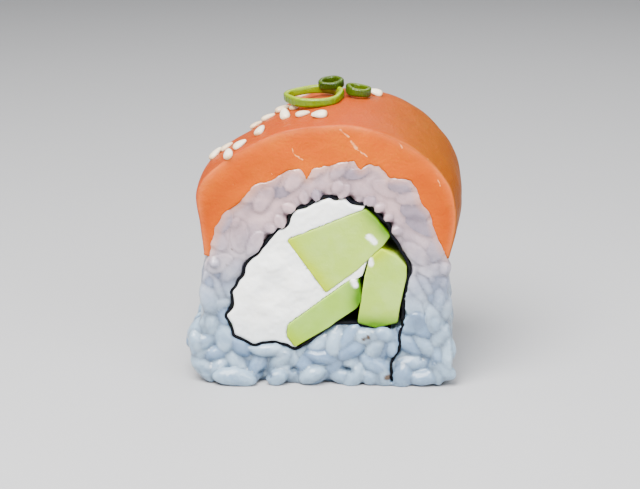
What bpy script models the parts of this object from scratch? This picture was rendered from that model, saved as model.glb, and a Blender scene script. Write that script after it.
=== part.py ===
"""One slice of an inside-out sushi roll, standing on its rice base with a cut face towards -Y.

Rice is wrapped round a nori sheet that holds cream cheese and three cucumber sticks. A thick salmon
slice lies over the top like an arch, with sesame seeds fused to it and three spring onion rings on it.
Every shape is worked out in the XZ plane of the cut face, in millimetres, and carried along Y.
"""

import math

import bmesh
import bpy
import numpy as np
from mathutils import Matrix, Vector

MM = 0.001
GAP = 0.3  # clearance between neighbouring pieces
WELD = 0.005  # points this close are one

# Whole slice
SLICE_DEPTH = 27.0  # between the two cut faces
SKEW = 0.02  # the cut is slanting: the roll runs this far to +X for each millimetre back
SHIFT_X = -0.2  # brings the middle of the slice to X = 0

# Rice: the walls from top to foot, as (x, z), and the arch that carries the salmon, left to right
RICE_CORE_DEPTH = 25.4
RICE_CORE_ROUNDING = ((0.0, 0.9), (0.5, 0.3), (2.0, 0.0))  # behind a cut face, and how far the edge draws in
WALL_TOP = 22.5
LEFT_WALL = (
    (-22.0, WALL_TOP), (-22.0, 13.0), (-23.4, 10.0), (-24.6, 7.0), (-23.6, 3.4), (-21.6, 0.6), (-20.2, 0.0),
)
RIGHT_WALL = (
    (22.0, WALL_TOP), (22.1, 18.0), (22.5, 13.0), (23.0, 8.0), (23.3, 4.5), (22.8, 1.4), (21.8, 0.0),
)
ARCH_ROUTE = (
    (-21.2, 24.3), (-19.3, 30.4), (-15.3, 35.0), (-10.6, 38.4), (-4.5, 40.8), (2.5, 41.8),
    (8.9, 41.1), (14.5, 38.1), (18.5, 33.2), (20.7, 28.0), (21.6, 24.4),
)
RICE_STATIONS = 60

# Nori: a sheet that starts under the filling, goes round it and ends as a tail at the floor
NORI_THICKNESS = 0.5
NORI_SET_BACK = 0.3  # from the cut faces
NORI_ROUTE = (
    (12.1, 10.7), (9.1, 10.8), (5.8, 11.6), (2.7, 11.8), (-0.2, 10.2), (-2.4, 8.3), (-4.6, 6.6),
    (-8.4, 7.3), (-13.2, 7.3), (-16.0, 8.6), (-17.5, 10.9), (-17.8, 13.3), (-17.2, 16.4),
    (-16.1, 19.8), (-14.2, 22.6), (-11.6, 25.8), (-8.2, 29.9), (-4.9, 33.0), (-1.2, 35.0),
    (3.4, 35.5), (8.2, 34.2), (11.4, 30.5), (13.6, 26.7), (15.2, 22.8), (15.3, 18.6),
    (14.6, 13.2), (13.7, 9.4), (13.0, 5.6), (12.6, 0.9),
)
NORI_STATIONS = 66

# Filling: where on the nori the cheese begins and ends, and the sticks' corners
CHEESE_STARTS = (-5.0, 6.5)
CHEESE_ENDS = (7.6, 34.4)
CHEESE_CLOSING = ((4.6, 30.6), (5.3, 23.2), (5.0, 19.6), (-1.5, 12.5))  # inside the sticks that cut it
CHEESE_DEPTH = 26.6
FILLING_TO = 0.9  # share of the nori's length that goes round the filling, before its tail
STICKS = {
    "cucumber_top": ((-6.9, 27.4), (7.0, 33.2), (9.4, 31.2), (11.6, 28.2), (10.6, 26.6), (0.2, 17.9)),
    "cucumber_low": (
        (-6.8, 11.6), (4.9, 20.5), (5.7, 20.2), (6.0, 16.8), (3.6, 13.4), (0.0, 11.2), (-5.0, 7.6),
        (-6.8, 9.4),
    ),
    "cucumber_right": (
        (8.1, 23.9), (10.5, 25.8), (12.8, 24.9), (14.3, 22.6), (14.3, 17.6), (13.2, 12.0),
        (8.2, 11.7), (6.2, 12.8), (7.1, 20.0),
    ),
}
STICK_REACH = {  # to the front and to the back
    "cucumber_top": (13.3, 13.5),
    "cucumber_low": (13.7, 13.2),
    "cucumber_right": (13.4, 13.4),
}
STICK_ROUNDING = 0.35

# Salmon: a slab between the arch and this outer route, left to right
SALMON_ROUTE = (
    (-21.9, 24.3), (-22.4, 30.0), (-22.8, 35.6), (-20.6, 39.8), (-15.1, 43.7), (-8.9, 46.8),
    (-1.6, 48.3), (5.6, 48.5), (12.4, 46.3), (18.0, 42.9), (22.3, 38.0), (23.5, 33.2), (23.2, 28.8),
    (22.3, 24.5),
)
SALMON_BULGE = 1.0  # extra height half way between the cut faces
SALMON_BULGE_EXPONENT = 2.4
SALMON_SECTIONS = (-1.0, -0.97, -0.85, -0.5, 0.0, 0.5, 0.85, 0.97, 1.0)  # shares of half the depth
# Shoulders: share of the route, width as a share, and how much higher the back stands than the front
SALMON_SHOULDERS = ((0.27, 0.09, -1.4), (0.65, 0.09, 2.4))
SALMON_EDGE = 0.5  # rounding of the cut edges
SALMON_END_WAVE = 0.02  # how unevenly the two ends hang, as a share of the arch
SALMON_STATIONS = 36

# Rice grains, in half lengths
GRAIN_SIZES = ((2.6, 1.2, 1.2), (3.6, 1.45, 1.45))  # from the smallest to the largest
GRAIN_SIDES = 6
FACE_ROWS = 2
FACE_COLUMNS = 27
WALL_ROWS = 5
WALL_COLUMNS = 5
GRAIN_STANDS_OUT = 1.1  # how far grains rise from the core's cut faces
WALL_GRAIN_STANDS_OUT = 0.75
GRAIN_FULLNESS = 0.08  # how much fuller one end of a grain is
GRAIN_CLEARANCE = 1.08  # a grain's reach towards its neighbours, as a share of its size
FITTING_TRIES = 9
GRAIN_SEED = 5

# Large grains along the front foot: x, y, z of the middle, half length and tilt in degrees
FOOT_GRAINS = (
    (-16.4, -14.6, 1.5, 4.9, -5), (-8.8, -13.9, 1.4, 2.2, 8), (-2.3, -13.6, 1.8, 3.0, 26),
    (5.4, -13.2, 1.6, 2.4, 60), (17.0, -12.9, 1.5, 2.9, 6),
)

# Sesame seeds on the salmon: x, y and heading in degrees
SEED_HALF_SIZES = (1.6, 0.95, 0.55)
SEED_HEIGHT = 0.2  # of its middle over the salmon
SEED_FULLNESS = 0.25
SEED_SIDES = 6
SESAME = (
    (-20.0, -3.8, 30), (-18.2, -4.0, 20), (-17.0, -12.4, 85), (-15.0, -11.0, 8), (-14.2, 6.3, 5),
    (-11.0, 1.2, 5), (-11.5, -8.8, 60), (-7.5, -4.4, 95), (-8.4, 2.3, 30), (-6.0, -0.4, 60),
    (-4.3, -6.6, 12), (-1.0, -9.1, 176), (7.5, 7.1, 175), (4.5, 12.4, 5), (-5.6, 12.2, 40),
    (-3.2, 12.8, 120), (-0.8, 11.6, 80), (0.6, 8.6, 95),
)

# Spring onion rings: centre, outer half sizes, height, wall thickness, tilt about X, Y and Z in degrees
RING_SIDES = 20
RING_PROFILE = ((0, -1), (0, 1), (0.5, 1.15), (1, 1), (1, -1), (0.5, -1.15))  # across the wall and up it
RING_WAVE = 0.04  # how far a ring is from round
RINGS = {
    "spring_onion_large": {
        "centre": (-3.0, 0.9, 50.6), "half": (5.5, 5.1), "height": 1.4, "thickness": 0.8,
        "turn": (3.0, -4.0, 4.0),
    },
    "spring_onion_small": {
        "centre": (-0.2, 5.0, 52.75), "half": (2.35, 2.3), "height": 1.5, "thickness": 0.8,
        "turn": (10.0, -3.0, -10.0),
    },
    "spring_onion_right": {
        "centre": (4.9, 3.0, 51.6), "half": (2.3, 2.6), "height": 1.6, "thickness": 0.7,
        "turn": (6.0, 6.0, 25.0),
    },
}

COLOURS = {
    "rice": ((0.82, 0.84, 0.86), 0.35),
    "nori": ((0.02, 0.025, 0.03), 0.5),
    "cream_cheese": ((0.92, 0.91, 0.87), 0.5),
    "cucumber": ((0.62, 0.76, 0.30), 0.25),
    "salmon": ((0.86, 0.36, 0.13), 0.25),
    "spring_onion": ((0.22, 0.48, 0.05), 0.3),
}


# Curves in the XZ plane


def resample(path, count):
    """count points evenly spaced by length along a path."""
    steps = np.linalg.norm(np.diff(path, axis=0), axis=1)
    along = np.concatenate([[0.0], np.cumsum(steps)])
    at = np.linspace(0.0, along[-1], count)
    return np.stack([np.interp(at, along, path[:, k]) for k in range(2)], axis=1)


def smooth_path(points, count):
    """A Catmull-Rom curve through the points, evenly spaced."""
    points = np.asarray(points, float)
    padded = np.vstack([2 * points[0] - points[1], points, 2 * points[-1] - points[-2]])
    t = np.linspace(0.0, 1.0, 10, endpoint=False)[:, None]
    spans = [
        b + 0.5 * ((c - a) * t + (2 * a - 5 * b + 4 * c - d) * t**2 + (3 * b - a - 3 * c + d) * t**3)
        for a, b, c, d in zip(padded, padded[1:], padded[2:], padded[3:])
    ]
    return resample(np.vstack([*spans, points[-1:]]), count)


def left_of(path):
    """Unit vectors to the left of a path's direction."""
    tangent = np.gradient(path, axis=0)
    tangent /= np.linalg.norm(tangent, axis=1, keepdims=True)
    return np.stack([-tangent[:, 1], tangent[:, 0]], axis=1)


def nori_path(count=NORI_STATIONS):
    return smooth_path(NORI_ROUTE, count)


def wall(route, z):
    """X of a rice wall at height z."""
    x, height = np.asarray(route[::-1]).T
    return np.interp(z, height, x)


def rice_outline(count=RICE_STATIONS):
    """Outer edge of the rice, from the nori tail along the base, up the left wall, over and down."""
    foot = nori_path()[-1, 0] - NORI_THICKNESS / 2 - GAP
    arch = smooth_path(ARCH_ROUTE, 60)
    arch -= left_of(arch) * GAP / 2
    return resample(np.vstack([[(foot, 0.0)], LEFT_WALL[::-1], arch, RIGHT_WALL]), count)


def rice_inner(count=RICE_STATIONS):
    """Edge of the rice against the nori."""
    path = nori_path(count)
    path = path + left_of(path) * (NORI_THICKNESS / 2 + GAP)
    path[-1, 1] = 0.0
    return path


def route_point(route, share, offset):
    """Points at these shares of a route's length, moved out from it by offset."""
    path = smooth_path(route, 121)
    shares = np.linspace(0.0, 1.0, len(path))
    out = left_of(path)
    point, out = (
        np.stack([np.interp(share, shares, line[:, k]) for k in range(2)], axis=-1) for line in (path, out)
    )
    return point + out * np.asarray(offset)[..., None]


def salmon_rise(share, y):
    """How far the salmon's outer face stands above its route at a share of it and depth y."""
    depth = np.clip(np.abs(y) / (SLICE_DEPTH / 2), 0, 1)
    rounding = SALMON_EDGE * np.clip((depth - 0.96) / 0.04, 0, 1) ** 2
    higher = sum(step * np.exp(-(((share - at) / width) ** 2)) for at, width, step in SALMON_SHOULDERS)
    return SALMON_BULGE * (1 - depth**SALMON_BULGE_EXPONENT) - rounding + higher * (y / SLICE_DEPTH + 0.5)


def salmon_point(x, y):
    """(point, outward normal) on top of the salmon."""
    route = smooth_path(SALMON_ROUTE, 121)
    shares = np.linspace(0.0, 1.0, len(route))
    climb = np.argmin(route[:, 0])
    share = float(np.interp(x, route[climb:-12, 0], shares[climb:-12]))

    def at(s, d):
        px, pz = route_point(SALMON_ROUTE, s, salmon_rise(s, d))
        return Vector((px, d, pz))

    step = 0.01
    along = at(share + step, y) - at(share - step, y)
    across = at(share, y + step) - at(share, y - step)
    return at(share, y), along.cross(across).normalized()


# Meshes


def material(name):
    colour, roughness = COLOURS[name]
    made = bpy.data.materials.get(name) or bpy.data.materials.new(name)
    made.use_nodes = True
    shader = made.node_tree.nodes["Principled BSDF"]
    shader.inputs["Base Color"].default_value = (*colour, 1.0)
    shader.inputs["Roughness"].default_value = roughness
    shader.inputs["Metallic"].default_value = 0.0
    return made


def slanted(points):
    """Points of a straight roll, moved as the slanting cut has them."""
    points = np.array(points, float)
    points[:, 0] += SKEW * points[:, 1] + SHIFT_X
    return points


def add_object(name, points, faces, finish, collection=None):
    """A mesh object from points of the straight roll, in millimetres."""
    mesh = bpy.data.meshes.new(name)
    mesh.from_pydata((slanted(points) * MM).tolist(), [], [tuple(map(int, f)) for f in faces])
    mesh.materials.append(material(finish))
    mesh.update()
    made = bpy.data.objects.new(name, mesh)
    (collection or bpy.context.scene.collection).objects.link(made)
    return made


def turn_faces_out(obj):
    work = bmesh.new()
    work.from_mesh(obj.data)
    bmesh.ops.recalc_face_normals(work, faces=work.faces)
    work.to_mesh(obj.data)
    work.free()


def band_solid(name, rings, finish):
    """A solid from rings of 2n points, each the inner edge forwards and the outer edge backwards.

    rings has one ring per station along Y. The end faces are ladders of quads between the edges.
    """
    rings = np.asarray(rings)
    stations, around = rings.shape[:2]
    n = around // 2
    faces = []
    for k in range(stations - 1):
        for i in range(around):
            j = (i + 1) % around
            faces.append((k * around + i, k * around + j, (k + 1) * around + j, (k + 1) * around + i))
    for start, turn in ((0, -1), ((stations - 1) * around, 1)):
        for i in range(n - 1):
            quad = (start + i, start + i + 1, start + around - 2 - i, start + around - 1 - i)
            faces.append(quad[::turn])
    made = add_object(name, rings.reshape(-1, 3), faces, finish)
    turn_faces_out(made)
    return made


def band_rings(inner, outer, depths, insets):
    """One ring per depth, each edge drawn towards the middle of the band by that depth's inset."""
    middle = (inner + outer) / 2
    rings = []
    for y, inset in zip(depths, insets):
        edges = []
        for edge in (inner, outer[::-1]):
            centre = middle if edge is inner else middle[::-1]
            reach = np.linalg.norm(edge - centre, axis=1, keepdims=True)
            drawn = centre + (edge - centre) * (1 - inset / np.maximum(reach, 2 * inset + 0.01))
            edges.append(np.insert(drawn, 1, y, axis=1))
        rings.append(np.vstack(edges))
    return rings


def prism(name, corners, front, back, finish, rounding=0.0, collection=None):
    """A straight bar with this cross-section, from Y = -front to Y = back."""
    corners = np.asarray(corners, float)
    n = len(corners)
    points = np.vstack([np.insert(corners, 1, -front, axis=1), np.insert(corners, 1, back, axis=1)])
    faces = [tuple(range(n)), tuple(range(2 * n - 1, n - 1, -1))]
    faces += [(i, n + i, n + (i + 1) % n, (i + 1) % n) for i in range(n)]
    made = add_object(name, points, faces, finish, collection)
    turn_faces_out(made)
    if rounding:
        bevel = made.modifiers.new("rounded edges", "BEVEL")
        bevel.width = rounding * MM
        bevel.segments = 2
        bevel.limit_method = "ANGLE"
        bevel.angle_limit = math.radians(20)
    return made


def grow(corners, distance):
    """A convex outline with every edge moved out by a distance."""
    corners = np.asarray(corners, float)
    edges = np.roll(corners, -1, axis=0) - corners
    normals = np.stack([-edges[:, 1], edges[:, 0]], axis=1)
    normals /= np.linalg.norm(normals, axis=1, keepdims=True)
    before = np.roll(normals, 1, axis=0)
    scale = 1 + (normals * before).sum(axis=1, keepdims=True)
    return corners + distance * (normals + before) / scale


def ellipsoid(name, centre, axes, half_sizes, sides, finish, collection, fuller):
    """A small closed grain; axes is a 3 by 3 rotation, and fuller is how much its far end is."""
    lengthwise = np.array([-0.78, 0.0, 0.78])
    girth = np.sqrt(1 - lengthwise**2) * (1 + fuller * lengthwise)
    angle = np.arange(sides) * 2 * math.pi / sides
    rings = [
        np.stack([np.full(sides, v), r * np.cos(angle), r * np.sin(angle)], axis=1)
        for v, r in zip(lengthwise, girth)
    ]
    local = np.vstack([*rings, [[-1, 0, 0]], [[1, 0, 0]]]) * np.asarray(half_sizes)
    points = np.asarray(centre) + local @ np.asarray(axes).T
    first, last = 3 * sides, 3 * sides + 1
    faces = []
    for i in range(sides):
        j = (i + 1) % sides
        faces.append((first, j, i))
        faces.append((last, 2 * sides + i, 2 * sides + j))
        for k in range(2):
            faces.append((k * sides + i, k * sides + j, (k + 1) * sides + j, (k + 1) * sides + i))
    made = add_object(name, points, faces, finish, collection)
    turn_faces_out(made)
    return made


def fuse(target, collection, operation="UNION", solver="EXACT"):
    """One Boolean with every object of a collection, applied; the collection's objects go away."""
    boolean = target.modifiers.new("fuse", "BOOLEAN")
    boolean.operation = operation
    boolean.operand_type = "COLLECTION"
    boolean.collection = collection
    boolean.solver = solver
    bpy.context.view_layer.update()
    graph = bpy.context.evaluated_depsgraph_get()
    fused = bpy.data.meshes.new_from_object(target.evaluated_get(graph), depsgraph=graph)
    target.modifiers.remove(boolean)
    target.data = fused
    for used in list(collection.objects):
        bpy.data.objects.remove(used)
    bpy.data.collections.remove(collection)
    keep_main_body(target)


def keep_main_body(obj):
    """Fills sealed hollows and drops loose scraps, which are all bodies but the largest."""
    work = bmesh.new()
    work.from_mesh(obj.data)
    bmesh.ops.triangulate(work, faces=work.faces)
    bodies, seen = [], set()
    for start in work.verts:
        if start in seen:
            continue
        body, queue = [], [start]
        seen.add(start)
        while queue:
            vertex = queue.pop()
            body.append(vertex)
            for edge in vertex.link_edges:
                other = edge.other_vert(vertex)
                if other not in seen:
                    seen.add(other)
                    queue.append(other)
        bodies.append(body)
    bodies.sort(key=len)
    spare = [vertex for body in bodies[:-1] for vertex in body]
    bmesh.ops.delete(work, geom=spare, context="VERTS")
    bmesh.ops.remove_doubles(work, verts=work.verts, dist=WELD * MM)
    bmesh.ops.dissolve_degenerate(work, edges=work.edges, dist=WELD * MM)
    bmesh.ops.triangulate(work, faces=work.faces)
    work.to_mesh(obj.data)
    work.free()


def new_collection(name):
    made = bpy.data.collections.new(name)
    bpy.context.scene.collection.children.link(made)
    return made


# Rice


def grain_axes(heading, out, roll):
    """Columns: a grain's length along heading, with the rest turned round it from out by roll."""
    length = np.asarray(heading, float)
    length /= np.linalg.norm(length)
    side = np.cross(out, length)
    side /= np.linalg.norm(side)
    up = np.cross(length, side)
    c, s = math.cos(roll), math.sin(roll)
    return np.stack([length, c * side + s * up, c * up - s * side], axis=1)


def reach_of(axes, half_sizes, direction):
    """How far an ellipsoid reaches from its centre in a direction."""
    return float(np.linalg.norm((np.asarray(direction) @ axes) * half_sizes))


def clear_of_neighbours(centre, axes, half):
    """Whether a grain keeps out of the nori, the filling and the salmon."""
    turn = np.linspace(0, 2 * math.pi, 12, endpoint=False)
    c, s, none = np.cos(turn), np.sin(turn), 0 * turn
    rims = np.vstack([np.stack([c, s, none], axis=1), np.stack([c, none, s], axis=1)])
    reach = centre + (rims * half * GRAIN_CLEARANCE) @ axes.T
    points = reach[:, [0, 2]]
    sheet = nori_path(240)
    nearest = np.linalg.norm(points[:, None] - sheet[None], axis=2).min()
    filling = sheet[: int(FILLING_TO * len(sheet))]
    after = np.roll(filling, -1, axis=0)
    x, z = points[:, :1], points[:, 1:]
    crossing = (filling[:, 1] > z) != (after[:, 1] > z)
    rise = np.where(after[:, 1] == filling[:, 1], 1.0, after[:, 1] - filling[:, 1])
    at = filling[:, 0] + (z - filling[:, 1]) / rise * (after[:, 0] - filling[:, 0])
    inside = ((crossing & (at > x)).sum(axis=1) % 2).any()
    arch = smooth_path(ARCH_ROUTE, 120)
    closest = np.linalg.norm(points[:, None] - arch[None], axis=2).argmin(axis=1)
    height = ((points - arch[closest]) * left_of(arch)[closest]).sum(axis=1)
    under = ((points[:, 1] < WALL_TOP) | (height < -GAP / 2)).all()
    return nearest > NORI_THICKNESS / 2 + GAP and not inside and under


def face_grains(draw, inner, outer, side):
    """Grains over one cut face, in rows across the band and staggered columns along it."""
    grains = []
    shares = np.linspace(0.0, 1.0, len(inner))
    for row in range(FACE_ROWS):
        for column in range(FACE_COLUMNS):
            share = (column + 0.5 + 0.25 * (-1) ** row + draw.uniform(-0.18, 0.18)) / FACE_COLUMNS
            a = np.array([np.interp(share, shares, inner[:, k]) for k in range(2)])
            b = np.array([np.interp(share, shares, outer[:, k]) for k in range(2)])
            across = (b - a) / np.linalg.norm(b - a)
            along = np.array([across[1], -across[0]])
            half = draw.uniform(*GRAIN_SIZES)
            angle, lean, roll = draw.uniform((-1.3, -0.5, -0.4), (1.3, 0.5, 0.4))
            place = a + (b - a) * (row + 0.5 + draw.uniform(-0.15, 0.15)) / FACE_ROWS
            for _ in range(FITTING_TRIES):
                heading = along * math.cos(angle) + across * math.sin(angle)
                heading = np.array([heading[0] * math.cos(lean), math.sin(lean), heading[1] * math.cos(lean)])
                axes = grain_axes(heading, (0.0, side, 0.0), roll)
                depth = RICE_CORE_DEPTH / 2 + GRAIN_STANDS_OUT - reach_of(axes, half, (0.0, 1.0, 0.0))
                centre = np.array([place[0], side * depth, place[1]])
                if clear_of_neighbours(centre, axes, half):
                    grains.append((centre, axes, half))
                    break
                angle *= 0.7
                half[0] *= 0.95
                place = (place * 9 + (a + b) / 2) / 10
    return grains


def wall_grains(draw, route):
    """Grains over the left or right wall, below the salmon's end."""
    grains = []
    out = np.array([math.copysign(1, route[0][0]), 0.0, 0.0])
    for row in range(WALL_ROWS):
        for column in range(WALL_COLUMNS):
            z = 1.5 + (WALL_TOP - 3.0) * (row + draw.uniform(-0.2, 0.2)) / (WALL_ROWS - 1)
            step = column + 0.25 * (-1) ** row + draw.uniform(-0.2, 0.2)
            y = (SLICE_DEPTH - 6.0) * (step / (WALL_COLUMNS - 1) - 0.5)
            half = draw.uniform(*GRAIN_SIZES)
            angle, lean = draw.uniform(-1.5, 1.5), draw.uniform(-0.35, 0.35)
            heading = np.array([math.sin(lean) * out[0], math.cos(angle), math.sin(angle)])
            axes = grain_axes(heading, out, draw.uniform(-0.4, 0.4))
            z = min(z, WALL_TOP - 0.4 - reach_of(axes, half, (0.0, 0.0, 1.0)))
            room = SLICE_DEPTH / 2 + 0.2 - reach_of(axes, half, (0.0, 1.0, 0.0))
            y = float(np.clip(y, -room, room))
            x = float(wall(route, z)) + out[0] * (WALL_GRAIN_STANDS_OUT - reach_of(axes, half, out))
            grains.append((np.array([x, y, z]), axes, half))
    return grains


def foot_grains():
    """The large grains that lie along the front foot."""
    grains = []
    for x, y, z, length, tilt in FOOT_GRAINS:
        heading = (math.cos(math.radians(tilt)), 0.0, math.sin(math.radians(tilt)))
        axes = grain_axes(heading, (0.0, -1.0, 0.0), 0.0)
        grains.append((np.array([x, y, z]), axes, np.array([length, 1.5, 1.4])))
    return grains


def rice():
    """Rice core with the grains that show fused on, at true size."""
    inner, outer = rice_inner(), rice_outline()
    half = RICE_CORE_DEPTH / 2
    behind, insets = np.array(RICE_CORE_ROUNDING).T
    depths = np.concatenate([behind - half, (half - behind)[::-1]])
    insets = np.concatenate([insets, insets[::-1]])
    core = band_solid("rice", band_rings(inner, outer, depths, insets), "rice")
    draw = np.random.default_rng(GRAIN_SEED)
    grains = face_grains(draw, inner, outer, -1) + face_grains(draw, inner, outer, 1)
    grains += wall_grains(draw, LEFT_WALL) + wall_grains(draw, RIGHT_WALL) + foot_grains()
    loose = new_collection("grains")
    for index, (centre, axes, sizes) in enumerate(grains):
        centre[2] = max(centre[2], reach_of(axes, sizes, (0.0, 0.0, 1.0)))
        ellipsoid(f"grain_{index}", centre, axes, sizes, GRAIN_SIDES, "rice", loose, fuller=GRAIN_FULLNESS)
    fuse(core, loose, solver="MANIFOLD")
    return core


# Nori, cheese and cucumber


def nori():
    """The sheet round the filling, one solid strip with its tail standing in the rice."""
    path = nori_path()
    side = left_of(path) * NORI_THICKNESS / 2
    half = SLICE_DEPTH / 2 - NORI_SET_BACK
    return band_solid("nori", band_rings(path - side, path + side, (-half, half), (0, 0)), "nori")


def cream_cheese():
    """What the nori holds beside the sticks: the filling's outline less the sticks."""
    path = nori_path(200)
    path = path - left_of(path) * (NORI_THICKNESS / 2 + GAP)
    first, last = (np.linalg.norm(path - end, axis=1).argmin() for end in (CHEESE_STARTS, CHEESE_ENDS))
    bounding = path[first:last]
    outline = np.vstack([resample(bounding, 30), CHEESE_CLOSING])
    half = CHEESE_DEPTH / 2
    cheese = prism("cream_cheese", outline, half, half, "cream_cheese")
    cutters = new_collection("stick_room")
    for name in ("cucumber_top", "cucumber_low"):
        room = grow(STICKS[name], GAP)
        prism(f"{name}_room", room, SLICE_DEPTH, SLICE_DEPTH, "cream_cheese", collection=cutters)
    fuse(cheese, cutters, operation="DIFFERENCE")
    return cheese


def cucumbers():
    for name, corners in STICKS.items():
        front, back = STICK_REACH[name]
        prism(name, corners, front, back, "cucumber", STICK_ROUNDING)


# Salmon and toppings


def salmon():
    """The arch of salmon with its sesame seeds fused on."""
    half = SLICE_DEPTH / 2
    rings = []
    for y in half * np.array(SALMON_SECTIONS):
        wave = SALMON_END_WAVE * (1 + np.array([math.cos(0.21 * y + 0.4), math.sin(0.17 * y + 0.9)])) / 2
        share = np.linspace(wave[0], 1 - wave[1], SALMON_STATIONS)
        fade = np.clip(6 * np.sin(math.pi * share), 0.2, 1)
        inner = route_point(ARCH_ROUTE, share, GAP / 2)
        outer = route_point(SALMON_ROUTE, share, salmon_rise(share, y) * fade)
        rings.append(np.vstack([np.insert(inner, 1, y, axis=1), np.insert(outer[::-1], 1, y, axis=1)]))
    slab = band_solid("salmon", rings, "salmon")
    seeds = new_collection("sesame")
    for index, (x, y, heading) in enumerate(SESAME):
        point, out = salmon_point(x, y)
        along = Matrix.Rotation(math.radians(heading), 3, out) @ out.orthogonal().normalized()
        axes = grain_axes(along, np.array(out), 0.0)
        centre = np.array(point + out * SEED_HEIGHT)
        name = f"sesame_{index}"
        ellipsoid(name, centre, axes, SEED_HALF_SIZES, SEED_SIDES, "salmon", seeds, fuller=SEED_FULLNESS)
    fuse(slab, seeds)
    return slab


def spring_onion(name, centre, half, height, thickness, turn):
    """A ring cut from a spring onion leaf: a rounded wall carried round an ellipse."""
    angle = np.arange(RING_SIDES) * 2 * math.pi / RING_SIDES
    profile = np.array(RING_PROFILE)
    profile *= thickness, height / 2 / profile[:, 1].max()
    wave = 1 + RING_WAVE * np.sin(3 * angle + half[0])
    points = []
    for inset, z in profile:
        x = (half[0] * wave - inset) * np.cos(angle)
        y = (half[1] * wave - inset) * np.sin(angle)
        points.append(np.stack([x, y, np.full(RING_SIDES, z)], axis=1))
    faces = []
    for k in range(len(profile)):
        m = (k + 1) % len(profile)
        for i in range(RING_SIDES):
            j = (i + 1) % RING_SIDES
            faces.append((k * RING_SIDES + i, k * RING_SIDES + j, m * RING_SIDES + j, m * RING_SIDES + i))
    made = add_object(name, np.vstack(points), faces, "spring_onion")
    turn_faces_out(made)
    made.location = Vector(centre) * MM
    made.rotation_euler = [math.radians(a) for a in turn]


def main():
    for old in list(bpy.data.objects):
        bpy.data.objects.remove(old)
    rice()
    nori()
    cream_cheese()
    cucumbers()
    salmon()
    for name, sizes in RINGS.items():
        spring_onion(name, **sizes)


main()
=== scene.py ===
"""Dresses a slice of philadelphia roll: rice in grains, nori, cream cheese, cucumber, salmon, sesame seeds
and spring onion, on a plain pale floor under soft light.

Shapes are worked out as for a straight roll, in millimetres: X across the slice, Y along the roll with the
shown cut face at the low end, Z up from the floor. placed() then sets them as the slanting cut has them.
"""

import math

import bmesh
import bpy
import numpy as np
from bpy.props import FloatProperty, FloatVectorProperty, IntProperty, PointerProperty
from mathutils import Euler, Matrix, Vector


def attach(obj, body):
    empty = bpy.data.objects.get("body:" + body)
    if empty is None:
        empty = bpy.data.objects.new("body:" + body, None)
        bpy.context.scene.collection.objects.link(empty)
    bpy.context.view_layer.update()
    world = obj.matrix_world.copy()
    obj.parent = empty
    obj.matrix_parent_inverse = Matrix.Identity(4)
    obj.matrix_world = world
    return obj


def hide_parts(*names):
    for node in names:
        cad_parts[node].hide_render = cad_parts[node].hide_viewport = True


bl_info = {
    "name": "Philadelphia roll slice",
    "version": (1, 0, 0),
    "blender": (4, 5, 0),
    "location": "3D View > Sidebar > Sushi",
    "description": "Builds the rice, nori, filling, salmon and garnish of one slice of a philadelphia roll",
    "category": "Add Mesh",
}

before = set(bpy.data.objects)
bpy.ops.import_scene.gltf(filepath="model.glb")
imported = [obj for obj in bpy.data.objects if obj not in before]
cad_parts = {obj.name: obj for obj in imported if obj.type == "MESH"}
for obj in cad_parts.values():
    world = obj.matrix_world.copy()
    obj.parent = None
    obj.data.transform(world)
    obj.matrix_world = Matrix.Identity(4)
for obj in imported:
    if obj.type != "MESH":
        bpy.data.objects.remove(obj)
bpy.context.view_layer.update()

MM = 0.001

# Whole slice
HALF_DEPTH = 13.5
SKEW = 0.02  # run to +X for each millimetre back
SHIFT_X = -0.2

# Rice: the walls from top to foot as (x, z), and the arch under the salmon, left to right
WALL_TOP = 22.5
LEFT_WALL = (
    (-22.0, WALL_TOP), (-22.0, 13.0), (-23.4, 10.0), (-24.6, 7.0), (-23.6, 3.4), (-21.6, 0.6), (-20.2, 0.0),
)
RIGHT_WALL = (
    (22.0, WALL_TOP), (22.1, 18.0), (22.5, 13.0), (23.0, 8.0), (23.3, 4.5), (22.8, 1.4), (21.8, 0.0),
)
ARCH_ROUTE = (
    (-21.2, 24.3), (-19.3, 30.4), (-15.3, 35.0), (-10.6, 38.4), (-4.5, 40.8), (2.5, 41.8),
    (8.9, 41.1), (14.5, 38.1), (18.5, 33.2), (20.7, 28.0), (21.6, 24.4),
)
# Where rice meets salmon on the front cut face, grain by grain
FRONT_EDGE = (
    (-21.1, 24.2), (-19.75, 29.1), (-18.4, 31.9), (-15.2, 34.7), (-12.4, 37.5), (-8.9, 38.5), (-6.2, 40.7),
    (-3.85, 40.4), (-3.3, 38.6), (-2.25, 40.4), (0.95, 41.35), (5.4, 42.3), (6.5, 40.1), (7.3, 41.6),
    (9.8, 41.45), (12.0, 39.1), (15.7, 38.8), (16.6, 37.0), (17.4, 34.2), (19.2, 32.4), (19.9, 29.3),
    (20.9, 26.9), (22.4, 24.5),
)

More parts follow.
